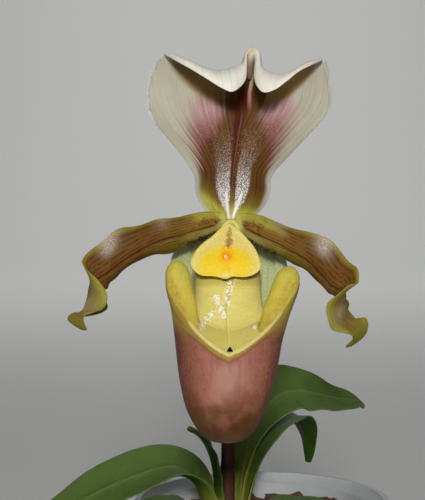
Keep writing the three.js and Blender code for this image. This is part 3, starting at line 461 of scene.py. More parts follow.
class OrchidFlower(bpy.types.PropertyGroup):
    """Sizes and colours of the flower."""

    sepal_thickness: length_property("Sepal thickness", "Thickness of the dorsal sepal and the synsepal", 0.6)
    petal_thickness: length_property("Petal thickness", "Thickness of the two petals", 0.6)
    lip_wall: length_property("Lip wall", "Thickness of the pouch's wall", 1.0)
    lip_grain: length_property("Lip grain", "Size of the grid that fuses the lip into one body", 0.3)
    hair_radius: length_property("Hair radius", "Radius of a hair at its root", 0.05)
    petal_hairs: count_property("Petal hairs", "Brown hairs at the foot of each petal", 260)
    ivory: colour_property("Ivory", "The sepal's pale margins", (0.47, 0.44, 0.335))
    # The folded top shows the sepal's back: its own pale colour, set much whiter than the ivory as painted
    # light where the top faces the light.
    porcelain_and_light: colour_property("Porcelain", "The sepal's back, seen on its folded top", (0.80, 0.765, 0.66))
    pink: colour_property("Pink", "Streaks at the outer edge of the sepal's flush", (0.27, 0.09, 0.08))
    umber: colour_property("Umber", "The brown fan in the middle of the sepal", (0.13, 0.056, 0.010))
    maroon: colour_property("Maroon", "The dark line down sepal and petals", (0.052, 0.008, 0.004))
    lime: colour_property("Lime", "Yellow-green of the sepals' feet", (0.52, 0.48, 0.08))
    olive: colour_property("Olive", "The petals' face", (0.205, 0.115, 0.014))
    sage: colour_property("Sage", "The synsepal", (0.42, 0.45, 0.18))
    mauve: colour_property("Mauve", "The pouch's outside", (0.30, 0.105, 0.075))
    tawny: colour_property("Tawny", "The pouch's toe", (0.075, 0.022, 0.003))
    butter: colour_property("Butter", "The ears", (0.56, 0.46, 0.05))
    custard: colour_property("Custard", "The two lobes of the throat", (0.74, 0.64, 0.17))
    cream: colour_property("Cream", "The pouch's rim", (0.70, 0.62, 0.26))
    canary: colour_property("Canary", "The shield", (0.80, 0.56, 0.006))
    orange: colour_property("Orange", "The shield's boss", (0.84, 0.36, 0.0))
    bristle: colour_property("Bristle", "The brown hairs", (0.06, 0.022, 0.008))


class OrchidPlant(bpy.types.PropertyGroup):
    """Sizes and colours of the stem, the leaves, the bark and the pot."""

    leaf_thickness: length_property("Leaf thickness", "Thickness of a leaf beside its midrib", 0.9)
    stem_hairs: count_property("Stem hairs", "Short hairs on the scape; the ovary has a third as many", 1500)
    bark_chips: count_property("Bark chips", "Places for loose chips on top of the bark", 150)
    leaf_green: colour_property("Leaf green", "The upper face of the leaves", (0.022, 0.066, 0.003))
    leaf_under: colour_property("Leaf underside", "The lower face of the leaves", (0.09, 0.145, 0.03))
    sheath: colour_property("Sheath", "The leaves' yellow-green foot", (0.26, 0.27, 0.045))
    scape_brown: colour_property("Scape", "The flower stem", (0.085, 0.036, 0.016))
    ovary_green: colour_property("Ovary", "The ovary between its ribs", (0.26, 0.27, 0.09))
    bark_red: colour_property("Bark", "Fresh faces of the bark chips", (0.23, 0.10, 0.055))
    bark_dark: colour_property("Dark bark", "Hollows and old faces of the bark chips", (0.045, 0.022, 0.013))
    root_brown: colour_property("Root", "Rhizome and roots", (0.24, 0.17, 0.10))
    plastic: colour_property("Pot", "The pot's cloudy grey plastic", (0.46, 0.48, 0.48))


class OrchidStage(bpy.types.PropertyGroup):
    """Camera, lights and floor."""

    floor_colour: colour_property("Floor", "The floor and the sweep behind", (0.80, 0.80, 0.79))
    distance: length_property("Camera distance", "From the flower's face to the camera", 340)
    key_power: power_property("Key light", "Power of the light above the camera", 0.59)
    fill_power: power_property("Fill lights", "Power of each wide light, before its own share", 0.28)
    back_power: power_property("Back light", "Power of the light on the sweep", 5.6)
    sky: FloatProperty(name="Surround", description="Brightness of the light from all round", default=0.08)


# ---- Dorsal sepal -------------------------------------------------------------------------------

# From the base to the tip of the beak, and from the base to the outer corner: -1 left, 1 right.
DORSAL_MIDLINE = [
    (0.2, 1.6, 0.2), (0.3, 0.8, 5), (0.8, 0.8, 11), (1.7, 2, 17.5), (2.9, 2.6, 24.4), (4.4, 1, 31.4),
    (5, -3, 38.1),
]
DORSAL_SIDE = {
    -1: [(-2, 2.4, 0.4), (-5.5, 3.6, 2.8), (-7.5, 5.2, 6.6), (-7.9, 6, 10.6), (-11.2, 5.5, 15.6),
         (-16.2, 4, 21.9), (-17.9, 3, 26.7), (-17.2, 2, 32.5), (-14.2, 0, 37.1)],
    1: [(2.4, 2.4, 0.4), (6.7, 3.6, 2.6), (8.9, 5.2, 6.6), (9.4, 6, 10.6), (13.7, 5.5, 15.5),
        (19.8, 4, 22.2), (22, 3, 26.5), (21.5, 2, 31.7), (20.1, 0, 35.9)],
}
# The line where the top folds forward, and the free edge of the folded flap, beak to corner.
DORSAL_FOLD = {
    -1: [(5, -3, 38.1), (3.6, -3, 37), (2.8, -2.8, 34.5), (0.2, -2.5, 33.3), (-3.1, -2.5, 32.6),
         (-6.1, -2.2, 33.6), (-9.2, -1.6, 35.1), (-11.9, -0.8, 36.3), (-14.2, 0, 37.1)],
    1: [(5, -3, 38.1), (6.3, -3, 36.8), (6.7, -2.8, 33.9), (8.2, -2.5, 32.5), (10.7, -2.5, 31.9),
        (13.3, -2.2, 32.6), (15.8, -1.6, 34), (18, -0.8, 35.2), (20.1, 0, 35.9)],
}
DORSAL_FLAP_EDGE = {
    -1: [(5, -3.2, 37.9), (3.3, -5.3, 35.2), (3.2, -11.5, 30.2), (0.6, -15.5, 27.2), (-1.9, -15.5, 27.9),
         (-5.2, -14, 30.1), (-8.4, -11.5, 32.3), (-11.5, -8, 34.4), (-14.2, -2.5, 36.5)],
    1: [(5, -3.2, 37.9), (5.3, -5.5, 34.9), (5.1, -11.5, 30), (6.6, -15.5, 27.1), (9.1, -15.5, 27.5),
        (11.8, -14, 29.5), (14.6, -11.5, 31.9), (17.4, -8, 33.6), (20.1, -2.5, 35.3)],
}
FLAP_CREST = 0.85
# How many rows the fold's bend reaches over, and how often they are softened.
FOLD_BEND = (8, 40)
RIDGE_HEIGHT, MIDLINE_DEPTH, RUFFLE_HEIGHT = 0.35, 0.45, 0.35
DORSAL_UPS = np.linspace(0.02, 1, 130)
FLAP_OVERS = np.linspace(0, 1, 56)
DORSAL_SHARES = np.linspace(0, 1, 72)
# How far across the coloured fan reaches at each height, and the brown, and the painted sparkle of pale
# glints.
FLUSH_REACH = [(0, 0.95), (0.23, 0.9), (0.34, 0.9), (0.42, 0.79), (0.5, 0.73), (0.57, 0.68), (0.65, 0.61),
               (0.76, 0.56), (0.95, 0.35)]
BROWN_REACH = [
    (0, 1), (0.36, 0.84), (0.41, 0.75), (0.46, 0.68), (0.52, 0.57), (0.57, 0.4), (0.63, 0.28), (0.85, 0.26),
    (1, 0.15),
]
SPARKLE_REACH = [(0, 0.2), (0.17, 0.34), (0.24, 0.44), (0.35, 0.5), (0.49, 0.5), (0.62, 0.36), (0.7, 0.1)]
# How far across the band of painted white glints reaches at each height, and how dense it is.
GLINT_BAND_REACH = [(0, 0.2), (0.09, 0.28), (0.2, 0.42), (0.41, 0.48), (0.6, 0.4)]
GLINT_BAND_LEVEL = [(0.03, 0), (0.1, 0.85), (0.2, 1), (0.3, 0.85), (0.42, 0.5), (0.55, 0.2), (0.66, 0)]
# The raised lines at the foot, painted white as highlights along them: place across, how it moves out
# with height, width, lowest and highest point.
DORSAL_RIDGES = [(-0.15, -0.05, 0.024, 0.0, 0.29), (0.165, 0.85, 0.027, 0.0, 0.29),
                 (-0.29, 0.0, 0.011, 0.11, 0.21), (0.32, 0.4, 0.011, 0.14, 0.24)]
# How high the painted tan and brown shadow beneath the folded top begins: its height at the midline, and its
# rise to the corner.
PAINTED_SHADOW_FOOT, PAINTED_SHADOW_RISE = 0.665, 0.335
FRINGE_HAIRS = 620
# The trough that closes the beak between the two flaps: its path from the tip inwards, its radius.
BEAK_PATH = [(5, -3.3, 37.6), (4.6, -3.9, 36.3), (4.25, -3.4, 34.8), (4.2, -2, 33.3), (4.3, -0.2, 31.6)]
BEAK_RADIUS = [(0, 0.2), (0.2, 0.65), (0.45, 0.85), (0.8, 0.8), (1, 0.4)]


def dorsal_half(side, share, up, over):
    """One half of the sheet. Below the fold: the line from the midline to the margin at a height,
    bowed by the fold's own bow times height^4. Past it: fold + crest * 2w(1 - w) + (edge - fold) * w^2."""
    middle, margin = route(DORSAL_MIDLINE, up), route(DORSAL_SIDE[side], up)
    sheet = middle + (margin - middle) * share[0, :, None]
    bow = share[0] ** (1.7 - 0.7 * up**4)
    sheet[..., 1] = middle[..., 1] + (margin[..., 1] - middle[..., 1]) * bow
    fold = route(DORSAL_FOLD[side], share[0])
    chord = fold[0] + (fold[-1] - fold[0]) * share[0, :, None]
    sheet += (fold - chord) * up[..., None] ** 4
    edge = route(DORSAL_FLAP_EDGE[side], share[0])
    crest = FLAP_CREST * (edge - fold)[:, 1:2] * DEPTH
    w = over[..., None]
    flap = fold + crest * 2 * w * (1 - w) + (edge - fold) * w**2
    return np.concatenate([sheet, flap[1:]])


def softened(points, centre, reach, passes):
    """Rows near one row drawn towards the mean of their neighbours, so a crease becomes a bend."""
    weight = hump(np.arange(len(points)), centre, reach)[1:-1, None, None] / 2
    for _ in range(passes):
        points[1:-1] += weight * (points[:-2] + points[2:] - 2 * points[1:-1])
    return points


def dorsal_ridges(across, up):
    """How much of a raised white line there is at each place, from 0 to 1."""
    total = 0
    for foot, lean, width, low, high in DORSAL_RIDGES:
        line = hump(across, foot + lean * np.maximum(up - 0.09, 0), width)
        total = total + line * ease(up, low, low + 0.03) * (1 - ease(up, high - 0.12, high))
    return np.clip(total, 0, 1)


def dorsal_sheet():
    """The whole sheet with its across, up and over values: both halves side by side, the fold
    softened to a bend, ridges raised at the foot, a shallow channel down the midline."""
    share, up = grid(DORSAL_SHARES, DORSAL_UPS)
    _, over = grid(DORSAL_SHARES, FLAP_OVERS)
    left, right = (dorsal_half(side, share, up, over) for side in (-1, 1))
    points = np.concatenate([left[:, ::-1], right[:, 1:]], 1)
    across, up = grid(np.concatenate([-DORSAL_SHARES[::-1], DORSAL_SHARES[1:]]),
                      np.concatenate([DORSAL_UPS, np.ones(len(FLAP_OVERS) - 1)]))
    _, over = grid(across[0], np.concatenate([np.zeros(len(DORSAL_UPS)), FLAP_OVERS[1:]]))
    points = softened(points, len(DORSAL_UPS) - 1, *FOLD_BEND)
    lift = RIDGE_HEIGHT * dorsal_ridges(across, up)
    channel = MIDLINE_DEPTH * hump(across, -0.03, 0.08) * ease(up, 0.15, 0.45) * (1 - ease(up, 0.85, 1))
    ruffle = RUFFLE_HEIGHT * np.abs(across) ** 5 * np.sin(21 * up + 4 * across) * (1 - over)
    points[..., 1] += channel - lift + ruffle
    return points, across, up, over


def like_back(skin, across):
    """The values that give all of a skin the look of the sepal's back at one place across."""
    values = {"across": across, "over": 1.0, "up": 0.5, "side": -1.0}
    return {name: np.full(len(skin.points), value) for name, value in values.items()}


def dorsal_fringe(settings, across, up, points):
    """Fine white hairs along both margins, thickest round the outer corners."""
    rng = np.random.default_rng(5)
    strands = []
    for column, outward in ((0, -1), (-1, 1)):
        rows = np.flatnonzero((up[:, column] > 0.42) & (up[:, column] < 1))
        pick = rows[(len(rows) * rng.beta(1.9, 0.7, FRINGE_HAIRS)).astype(int)]
        roots = points[pick, column] + rng.normal(0, 0.1, (FRINGE_HAIRS, 3))
        away = unit(np.array([outward, -0.3, 0.35]) + rng.normal(0, 0.4, (FRINGE_HAIRS, 3)))
        strands.append(hairs(roots, away, rng.uniform(0.35, 0.95, FRINGE_HAIRS),
                             settings.hair_radius / MM * 1.5, rng.normal(0, 0.15, (FRINGE_HAIRS, 3))))
    fringe = together(strands)
    fringe.values = like_back(fringe, across=1.0)
    return fringe


def beak_lining():
    """A short tube down the trough: tan at its top, darkened towards its lower end by painted shade, and
    maroon at that end.
    """
    t = np.linspace(0, 1, 40)
    lining = tube(route(BEAK_PATH, t), through(BEAK_RADIUS, t)[:, None], 24, lining=t[:, None])
    lining.values.update(like_back(lining, across=-0.03))
    return lining


def dorsal_finish(settings):
    """Ivory, with a fan of pink, umber and maroon streaks, a painted tan and brown shadow beneath the
    folded top, a painted lit strip down the cleft between the flaps, a lime foot, and the papillae's sparkle
    painted as pale and white glints that thicken in two bands beside the midline; the raised lines at the
    foot are painted white as highlights."""
    f = Finish("sepal_ivory", (0.12, 0.4), roughness=0.6, specular=0.06)
    across, up, over, fan, frost = (f.value(name) for name in ("across", "up", "over", "fan", "frost"))
    front = f.value("side").ease(-0.2, 0.2)
    shift = (f.streaks(fan, up, 26, 1.6, 1.0) - 0.5) * 0.45
    veins = f.streaks(fan, up, 42, 0.9, 4.0).ease(0.52, 0.66)
    streak = f.streaks(fan, up, 52, 1.4, 9.0).ease(0.4, 0.62)
    broad = f.streaks(fan, up, 11, 1.6, 6.0, 3.0).ease(0.46, 0.68)
    cloud = f.noise(1.8).ease(0.38, 0.64)
    flush = (f.value("flush") + shift).ease(-0.14, 0.18)
    brown = (f.value("brown") + shift).ease(-0.1, 0.12)
    # shade marks the painted shadow beneath the folded top: tan over the ivory, dark brown over the fan
    shade = f.value("shade").ease(-0.02, 0.03)
    centre = abs(across + 0.035)
    midline = centre.ease(0.105, 0.03) * up.ease(0.2, 0.3) * up.ease(0.82, 0.76)
    seam = abs(across).ease(0.02, 0.004) * up.ease(0.2, 0.3) * up.ease(0.7, 0.62)
    # painted light: where the light passes through the cleft between the flaps, a pink-tan strip down the
    # midline
    slit = abs(f.value("slit")).ease(0.035, 0.01)
    low = up + shift * 0.12 - across.ease(-0.3, -0.85, 0.0, 0.13)
    foot, lime = low.ease(0.27, 0.09), low.ease(0.17, 0.07)
    margin = (abs(across) + shift * 0.15).ease(0.8, 0.96)
    # painted highlights: the papillae's sparkle is drawn as pale and white grains, densest in the glint band
    glint_zone = f.value("spark").ease(-0.06, 0.14) * up.ease(0.66, 0.5, 0.0, 0.75) * up.ease(0.12, 0.2)
    grain = f.grit(0.22) + frost * 0.12
    painted_glints = grain.ease(0.59, 0.66) * (glint_zone * 0.6).larger(frost) * midline.ease(1.0, 0.2, 0.15, 1.0)
    # pale grains in the pink: painted sparkle highlights
    blush = f.grit(0.24).ease(0.5, 0.62) * flush * up.ease(0.42, 0.6) * 0.2
    face = f.lay(
        settings.ivory,
        (veins * up.ease(0.95, 0.5) * 0.1, (0.33, 0.3, 0.18)),
        (cloud * 0.3, (0.55, 0.52, 0.43)),
        (broad * up.ease(1.0, 0.7) * 0.5, (0.34, 0.31, 0.19)),
        (flush * 0.9, settings.pink),
        (flush * up.ease(0.6, 0.74) * 0.85, (0.56, 0.38, 0.38)),
        (flush * broad * 0.65, (0.25, 0.075, 0.08)),
        (flush * up.ease(0.66, 0.48) * 0.8, (0.135, 0.03, 0.018)),
        (flush * streak * 0.35, (0.21, 0.06, 0.055)),
        (blush, (0.66, 0.48, 0.47)),
        # painted shadow beneath the folded top
        (shade * 0.9, f.mix(across.ease(0.0, 0.5), (0.21, 0.115, 0.026), (0.32, 0.19, 0.045))),
        (brown * 0.95, settings.umber),
        (brown * veins * 0.55, (0.19, 0.095, 0.012)),
        (brown * streak * 0.6, (0.052, 0.012, 0.005)),
        # painted shadow, darker over the brown fan
        (brown * shade * 0.7, f.mix(across.ease(0.0, 0.2), (0.062, 0.018, 0.007), (0.12, 0.055, 0.014))),
        (foot * 0.9, f.mix(lime, (0.24, 0.18, 0.02), settings.lime)),
        (up.ease(0.085, 0.02, 0.0, 0.8), (0.66, 0.58, 0.26)),
        (margin * up.ease(0.02, 0.2, 0.4, 0.9), f.mix(up.ease(0.5, 0.25), settings.ivory, (0.6, 0.57, 0.47))),
        (midline * 0.95, settings.maroon),
        (midline * streak * 0.6, (0.13, 0.02, 0.013)),
        (seam * 0.45, (0.22, 0.15, 0.07)),
        # painted light: the lit strip down the cleft, pink below and tan towards the beak
        (slit * up.ease(0.66, 0.76) * 0.8, f.mix(up.ease(0.76, 0.82), (0.44, 0.22, 0.2), (0.46, 0.39, 0.24))),
        # a pale wash beneath the densest painted glints
        (frost * frost * midline.ease(1.0, 0.2, 0.1, 1.0) * 0.6, (0.42, 0.33, 0.31)),
        # painted glints
        (painted_glints * 0.95,
         f.mix(frost.ease(0.0, 0.6) * up.ease(0.42, 0.25, 0.5, 1.0), (0.52, 0.36, 0.24), (0.97, 0.94, 0.92))),
        # painted highlight: the raised lines at the foot drawn white
        (f.value("ridge").ease(0.25, 0.75) * up.ease(0.0, 0.06, 0.4, 1.0), (0.93, 0.92, 0.86)),
    )
    lining = f.value("lining")
    tinge = f.noise(7).ease(0.45, 0.7) * 0.3
    back = f.lay(
        settings.porcelain_and_light,
        (tinge, (0.7, 0.65, 0.52)),
        (veins * 0.15, (0.62, 0.57, 0.42)),
        (centre.ease(0.22, 0.05) * over.ease(0.0, 0.1) * 0.6, (0.56, 0.46, 0.27)),
        (centre.ease(0.07, 0.01) * over.ease(0.3, 0.0) * 0.7, (0.3, 0.14, 0.12)),
        (foot * 0.7, settings.lime),
        # painted shade inside the beak: the lining darkens to brown down the trough, then turns maroon
        (lining.ease(0.12, 0.6, 0.0, 0.85), (0.2, 0.115, 0.045)),
        (lining.ease(0.55, 0.8, 0.0, 0.8), (0.3, 0.13, 0.12)),
    )
    f.set("Base Color", f.mix(front, back, face))
    f.set("Roughness", painted_glints.ease(0.0, 1.0, 0.65, 0.3))
    f.bump(f.grit(0.2) * (glint_zone + frost) * 2.2 + veins * 0.8, 0.12, 0.8)
    return f.material


class ORCHID_OT_dorsal(bpy.types.Operator):
    """Make the dorsal sepal with its folded top and its fringe"""

    bl_idname = "orchid.dorsal"
    bl_label = "Dorsal sepal"

    def execute(self, context):
        settings = context.scene.orchid_flower
        points, across, up, over = dorsal_sheet()
        taper = 1 - 0.75 * np.maximum(np.abs(across) ** 6, over**6)
        out = np.abs(across)
        # frost: where the painted white glints crowd together beside the midline
        frost = ease(through(GLINT_BAND_REACH, up) - out, -0.04, 0.1) * ease(np.abs(across - 0.02), 0.04, 0.1)
        skin = blade(
            points, settings.sepal_thickness / MM / 2 * taper, across=across, up=up, over=over,
            flush=through(FLUSH_REACH, up) - out, brown=through(BROWN_REACH, up) - out,
            spark=through(SPARKLE_REACH, up) - out,
            frost=frost * through(GLINT_BAND_LEVEL, up),
            fan=np.sign(across) * (out - 0.55 * np.clip(up - 0.4, 0, 1)),
            # shade: where the folded top's shadow is painted in
            shade=(up - PAINTED_SHADOW_FOOT - PAINTED_SHADOW_RISE * out**1.25) * (over == 0),
            slit=across - 0.03 - 0.55 * (0.77 - np.minimum(up, 0.77)),
            ridge=dorsal_ridges(across, up),
        )
        whole = together([skin, beak_lining(), dorsal_fringe(settings, across, up, points)])
        piece("dorsal_sepal_bloom", whole.placed(), dorsal_finish(settings), "dorsal_sepal")
        return {"FINISHED"}


# ---- Synsepal -----------------------------------------------------------------------------------

SYNSEPAL_MARGIN = {
    -1: [(-1.9, 3.8, -1.6), (-7.5, 6, -3), (-11.6, 7.5, -5.4), (-13.4, 8.5, -9.2), (-13.4, 8.5, -15.2),
         (-11.6, 7.5, -24.2), (-7.8, 6, -33), (-4, 4.8, -38.6), (-1.6, 4.4, -41)],
    1: [(2, 3.8, -1.6), (7.2, 6, -3.4), (11.1, 7.5, -5.8), (13, 8.5, -9.6), (12.7, 8.5, -15.6),
        (10.4, 7.5, -24.4), (6.1, 6, -33.2), (2.2, 4.8, -38.6), (-0.2, 4.4, -41)],
}
SYNSEPAL_DISH, SYNSEPAL_CHANNEL, SYNSEPAL_RIB = 2.5, 0.3, 0.42


def synsepal_sheet(across, down):
    """The straight line from margin to margin, dished back by dish * (1 - across^2) * sin(down)^0.7,
    with two shallow channels where the two sepals' midribs run."""
    left, right = route(SYNSEPAL_MARGIN[-1], down), route(SYNSEPAL_MARGIN[1], down)
    points = left + (right - left) * ((across + 1) / 2)[..., None]
    swell = np.sin(math.pi * np.clip(down, 0, 1)) ** 0.7
    channels = hump(across, -SYNSEPAL_RIB, 0.07) + hump(across, SYNSEPAL_RIB, 0.07)
    points[..., 1] += (SYNSEPAL_DISH * (1 - across**2) + SYNSEPAL_CHANNEL * channels) * swell
    return points


def synsepal_finish(settings):
    """Sage green, limed towards the foot, with fine veins and a frosted surface."""
    f = Finish("synsepal_sage", (0.12, 0.4), roughness=0.5, specular=0.25)
    across, down = f.value("across"), f.value("down")
    veins = f.streaks(across, down, 34, 1.5, 2.0).ease(0.5, 0.64)
    grit = f.grit(0.17).ease(0.55, 0.62)
    cloud = f.noise(1.6).ease(0.4, 0.62)
    rib = abs(abs(across) - SYNSEPAL_RIB).ease(0.09, 0.0)
    colour = f.lay(
        settings.sage,
        (veins * 0.22, (0.28, 0.31, 0.11)),
        (cloud * 0.35, (0.3, 0.34, 0.14)),
        (rib * 0.5, (0.2, 0.24, 0.08)),
        (down.ease(0.12, 0.0, 0.0, 0.8), settings.lime),
        (abs(across).ease(0.84, 1.0) * 0.5, (0.55, 0.58, 0.4)),
        (grit * 0.65, (0.66, 0.68, 0.54)),
    )
    f.set("Base Color", colour)
    f.bump(f.grit(0.25) + veins * 1.2, 0.1, 0.7)
    return f.material


class ORCHID_OT_synsepal(bpy.types.Operator):
    """Make the synsepal, the two lower sepals grown together"""

    bl_idname = "orchid.synsepal"
    bl_label = "Synsepal"

    def execute(self, context):
        settings = context.scene.orchid_flower
        across, down = grid(np.linspace(-1, 1, 90), np.linspace(0, 0.995, 130))
        points = synsepal_sheet(across, down)
        taper = 1 - 0.7 * np.abs(across) ** 8
        skin = blade(points, settings.sepal_thickness / MM / 2 * taper, across=across, down=down)
        piece("synsepal_bloom", skin.placed(), synsepal_finish(settings), "synsepal")
        return {"FINISHED"}


# ---- Petals -------------------------------------------------------------------------------------

# A ribbon between an upper and a lower margin, with its midrib between them. The margins change
# places in the last third, where the ribbon turns over, and curl at the tip.
PETALS = {
    "petal_left": {
        "upper": [
            (-1.0, 0.5, 2.1), (-5.7, 0, 2.3), (-10.6, -0.4, 1.3), (-15.4, -1, 0.6), (-20.1, -2, -0.7),
            (-24.9, -3, -1.9), (-28.7, -5, -5), (-31.4, -7.5, -7.5), (-31.5, -9, -9.6), (-28.4, -12, -12.1),
            (-26.1, -13, -15.9), (-27.1, -12, -18.6), (-30.4, -10, -19.8), (-31.4, -9, -20.5),
            (-31.3, -8.5, -21.8), (-30.6, -8, -23.6),
        ],
        "midrib": [
            (-0.9, 0.1, 0.2), (-5.9, -0.8, -1.3), (-10.8, -1.8, -2.8), (-15.3, -3, -4.1),
            (-19.6, -4.5, -6.2), (-23.8, -6, -8.9), (-26.3, -7.5, -10.9), (-28, -8, -12),
            (-28.8, -8.5, -12.8), (-29.8, -9, -14.1), (-30.3, -9.5, -16), (-31.2, -9, -18.6),
            (-32, -9, -19.5), (-32.9, -8.5, -20.1), (-32.9, -8.5, -21.6), (-30.8, -8, -23.6),
        ],
        "lower": [
            (-1.2, 0.9, -1.8), (-6.2, 1, -3.5), (-10.4, 1.2, -5.6), (-14.5, 0.5, -7), (-18.5, 0, -7.4),
            (-22.8, -1.5, -9.7), (-25.3, -4, -12.2), (-26.4, -5.5, -13.8), (-26.9, -5.5, -14.6),
            (-27.1, -5.5, -15.3), (-27.1, -6, -16.8), (-26.6, -7, -18.9), (-30.6, -8.5, -20.3),
            (-33.6, -8, -19.6), (-34.9, -8, -21.2), (-31, -8, -23.6),
        ],
    },
    "petal_right": {
        "upper": [
            (1.3, 0.5, 2.0), (6.2, 0, 1.7), (11.9, -0.4, -0.7), (17.1, -1, -2.2), (21.8, -3, -3.8),
            (25.1, -5, -8.1), (27.3, -7, -10), (27.3, -9.5, -12.6), (25.2, -11.5, -13.8), (21.9, -13, -15.9),
            (20.2, -13.5, -18.8), (21.3, -12.5, -22.7), (24.2, -11, -23.8), (26.2, -10, -24.3),
            (25.9, -9, -25.9), (24.6, -8, -27.2),
        ],
        "midrib": [
            (1.2, 0.1, 0.0), (6.6, -0.8, -2.9), (11.6, -1.8, -5.3), (16.3, -3, -8.1), (19, -5, -10.6),
            (21.3, -7, -13.3), (22.7, -7.5, -14.3), (23.8, -8, -15), (24.2, -8, -15.6), (24.2, -8.5, -16.5),
            (23.9, -9, -17.7), (23.6, -10, -19.4), (24.2, -10, -21.3), (26, -9.5, -22.6), (27.3, -9, -24.4),
            (24.7, -8, -27.3),
        ],
        "lower": [
            (1.4, 0.9, -2.0), (6, 1, -5.1), (11.3, 1, -7.6), (15.8, 0, -9.9), (18.6, -2, -11.8),
            (20.8, -4.5, -14.2), (21.8, -5, -15.3), (22.7, -5, -16.1), (23.8, -5, -16.6), (24.9, -5, -17),
            (25.5, -5, -17.9), (25.7, -6, -19.6), (26.9, -7, -20.8), (29.1, -8, -20.9), (29.1, -8, -24.2),
            (24.9, -8, -27.3),
        ],
    },
}

# Where each petal's painted sheen lies along it, how wide, and how strong.
PETAL_SHEEN = {
    "petal_left": [(0.365, 0.034, 1.0), (0.19, 0.02, 0.3)],
    "petal_right": [(0.255, 0.03, 1.0), (0.12, 0.02, 0.2)],
}
# The height of the waves of a petal's margins, and the depth of the channel down its midline.
PETAL_WAVE, PETAL_CHANNEL = 0.22, 0.35
# The tufts of hairs at a petal's foot: range across, range along, share of the hairs, lean up.
PETAL_TUFTS = [((0.15, 0.66), (0.022, 0.085), 0.3, 0.3), ((-1.0, -0.5), (0.025, 0.12), 0.7, -0.4)]


def petal_sheet(petal, across, along):
    """The parabola at each place along the ribbon through its three curves: lower * a(a - 1)/2 +
    midrib * (1 - a^2) + upper * a(a + 1)/2, for a from -1 to 1."""
    a = across[..., None]
    return (
        route(petal["lower"], along) * a * (a - 1) / 2
        + route(petal["midrib"], along) * (1 - a**2)
        + route(petal["upper"], along) * a * (a + 1) / 2
    )


def index_at(places, line):
    """The number of the grid line at or before each place."""
    return np.interp(places, line, np.arange(len(line))).astype(int)


def petal_finish(settings):
    """Olive-brown with russet veins and a maroon midline, greener along its margins and below the
    midline near the foot, pale at the foot, with a painted sheen of pale grains where its upper margin bends,
    and a paler back."""
    f = Finish("petal_olive", (0.1, 0.4), specular=0.06)
    across, along = f.value("across"), f.value("along")
    front = f.value("side").ease(-0.2, 0.2)
    edge = abs(across)
    wander = (f.streaks(across, along, 2, 14, 3.0) - 0.5) * 0.16
    comb = (across + wander).wave(6.5)
    veins = comb.ease(0.58, 0.98) * f.streaks(across, along, 14, 30, 5.0).ease(0.36, 0.62)
    fine = f.streaks(across, along, 40, 16, 8.0).ease(0.46, 0.66)
    cloud = f.noise(2.4).ease(0.36, 0.64)
    midline = edge.ease(0.11, 0.03) * along.ease(0.02, 0.05) * along.ease(0.66, 0.5)
    margin = (edge + wander * 0.6).ease(0.84, 1.0)
    foot = (along + (cloud - 0.5) * 0.015).ease(0.035, 0.008)
    tip = along.ease(0.8, 0.92)
    green = across.ease(0.1, -0.4) * along.ease(0.3, 0.14)
    ruddy = (along + cloud * 0.05).ease(0.08, 0.28)
    grit = f.grit(0.16).ease(0.52, 0.62, 0.3, 1.0)
    near = (along + (cloud - 0.5) * 0.03).ease(0.15, 0.06)
    # painted sheen: pale grains where the upper margin bends, standing for its highlight
    sheen = grit * across.ease(0.35, 0.8) * f.value("sheen")
    face = f.lay(
        settings.olive,
        (ruddy * 0.85, (0.112, 0.04, 0.009)),
        (green * 0.75, (0.2, 0.165, 0.018)),
        (cloud * 0.3, (0.17, 0.095, 0.02)),
        (fine * 0.35, (0.19, 0.115, 0.02)),
        (veins * 0.75, (0.062, 0.017, 0.005)),
        (near * across.ease(0.35, 0.7) * 0.8, (0.36, 0.33, 0.045)),
        (near * across.ease(-0.05, -0.3) * 0.7, (0.36, 0.31, 0.09)),
        (near * across.ease(-0.1, 0.15) * across.ease(0.6, 0.35) * 0.6, (0.26, 0.125, 0.02)),
        (margin * 0.7, (0.31, 0.29, 0.03)),
        (midline * 0.9, settings.maroon),
        (foot, (0.5, 0.45, 0.11)),
        (sheen * 0.85, (0.86, 0.8, 0.68)),
    )
    back = f.lay(
        (0.2, 0.13, 0.03),
        (fine * 0.5, (0.28, 0.21, 0.06)),
        (veins * 0.45, (0.12, 0.055, 0.015)),
        (edge.ease(0.5, 0.98) * 0.8, (0.31, 0.29, 0.04)),
        (edge.ease(0.08, 0.02) * 0.5, (0.12, 0.045, 0.02)),
        (f.value("bloom") * grit * 0.5, (0.62, 0.57, 0.42)),
    )
    f.set("Base Color", f.lay(f.mix(front, back, face), (tip * 0.75, (0.165, 0.15, 0.014))))
    f.set("Roughness", f.noise(1.2).ease(0.3, 0.7, 0.5, 0.68))
    relief = veins * -1.0 + f.grit(0.2) * 1.6
    f.bump(relief, 0.1, 0.8)
    return f.material


def hair_finish(settings):
    """Brown bristles with paler tips."""
    f = Finish("bristle_brown", roughness=0.5, specular=0.25)
    f.set("Base Color", f.mix(f.value("tip") * 0.5, settings.bristle, (0.2, 0.1, 0.04)))
    return f.material


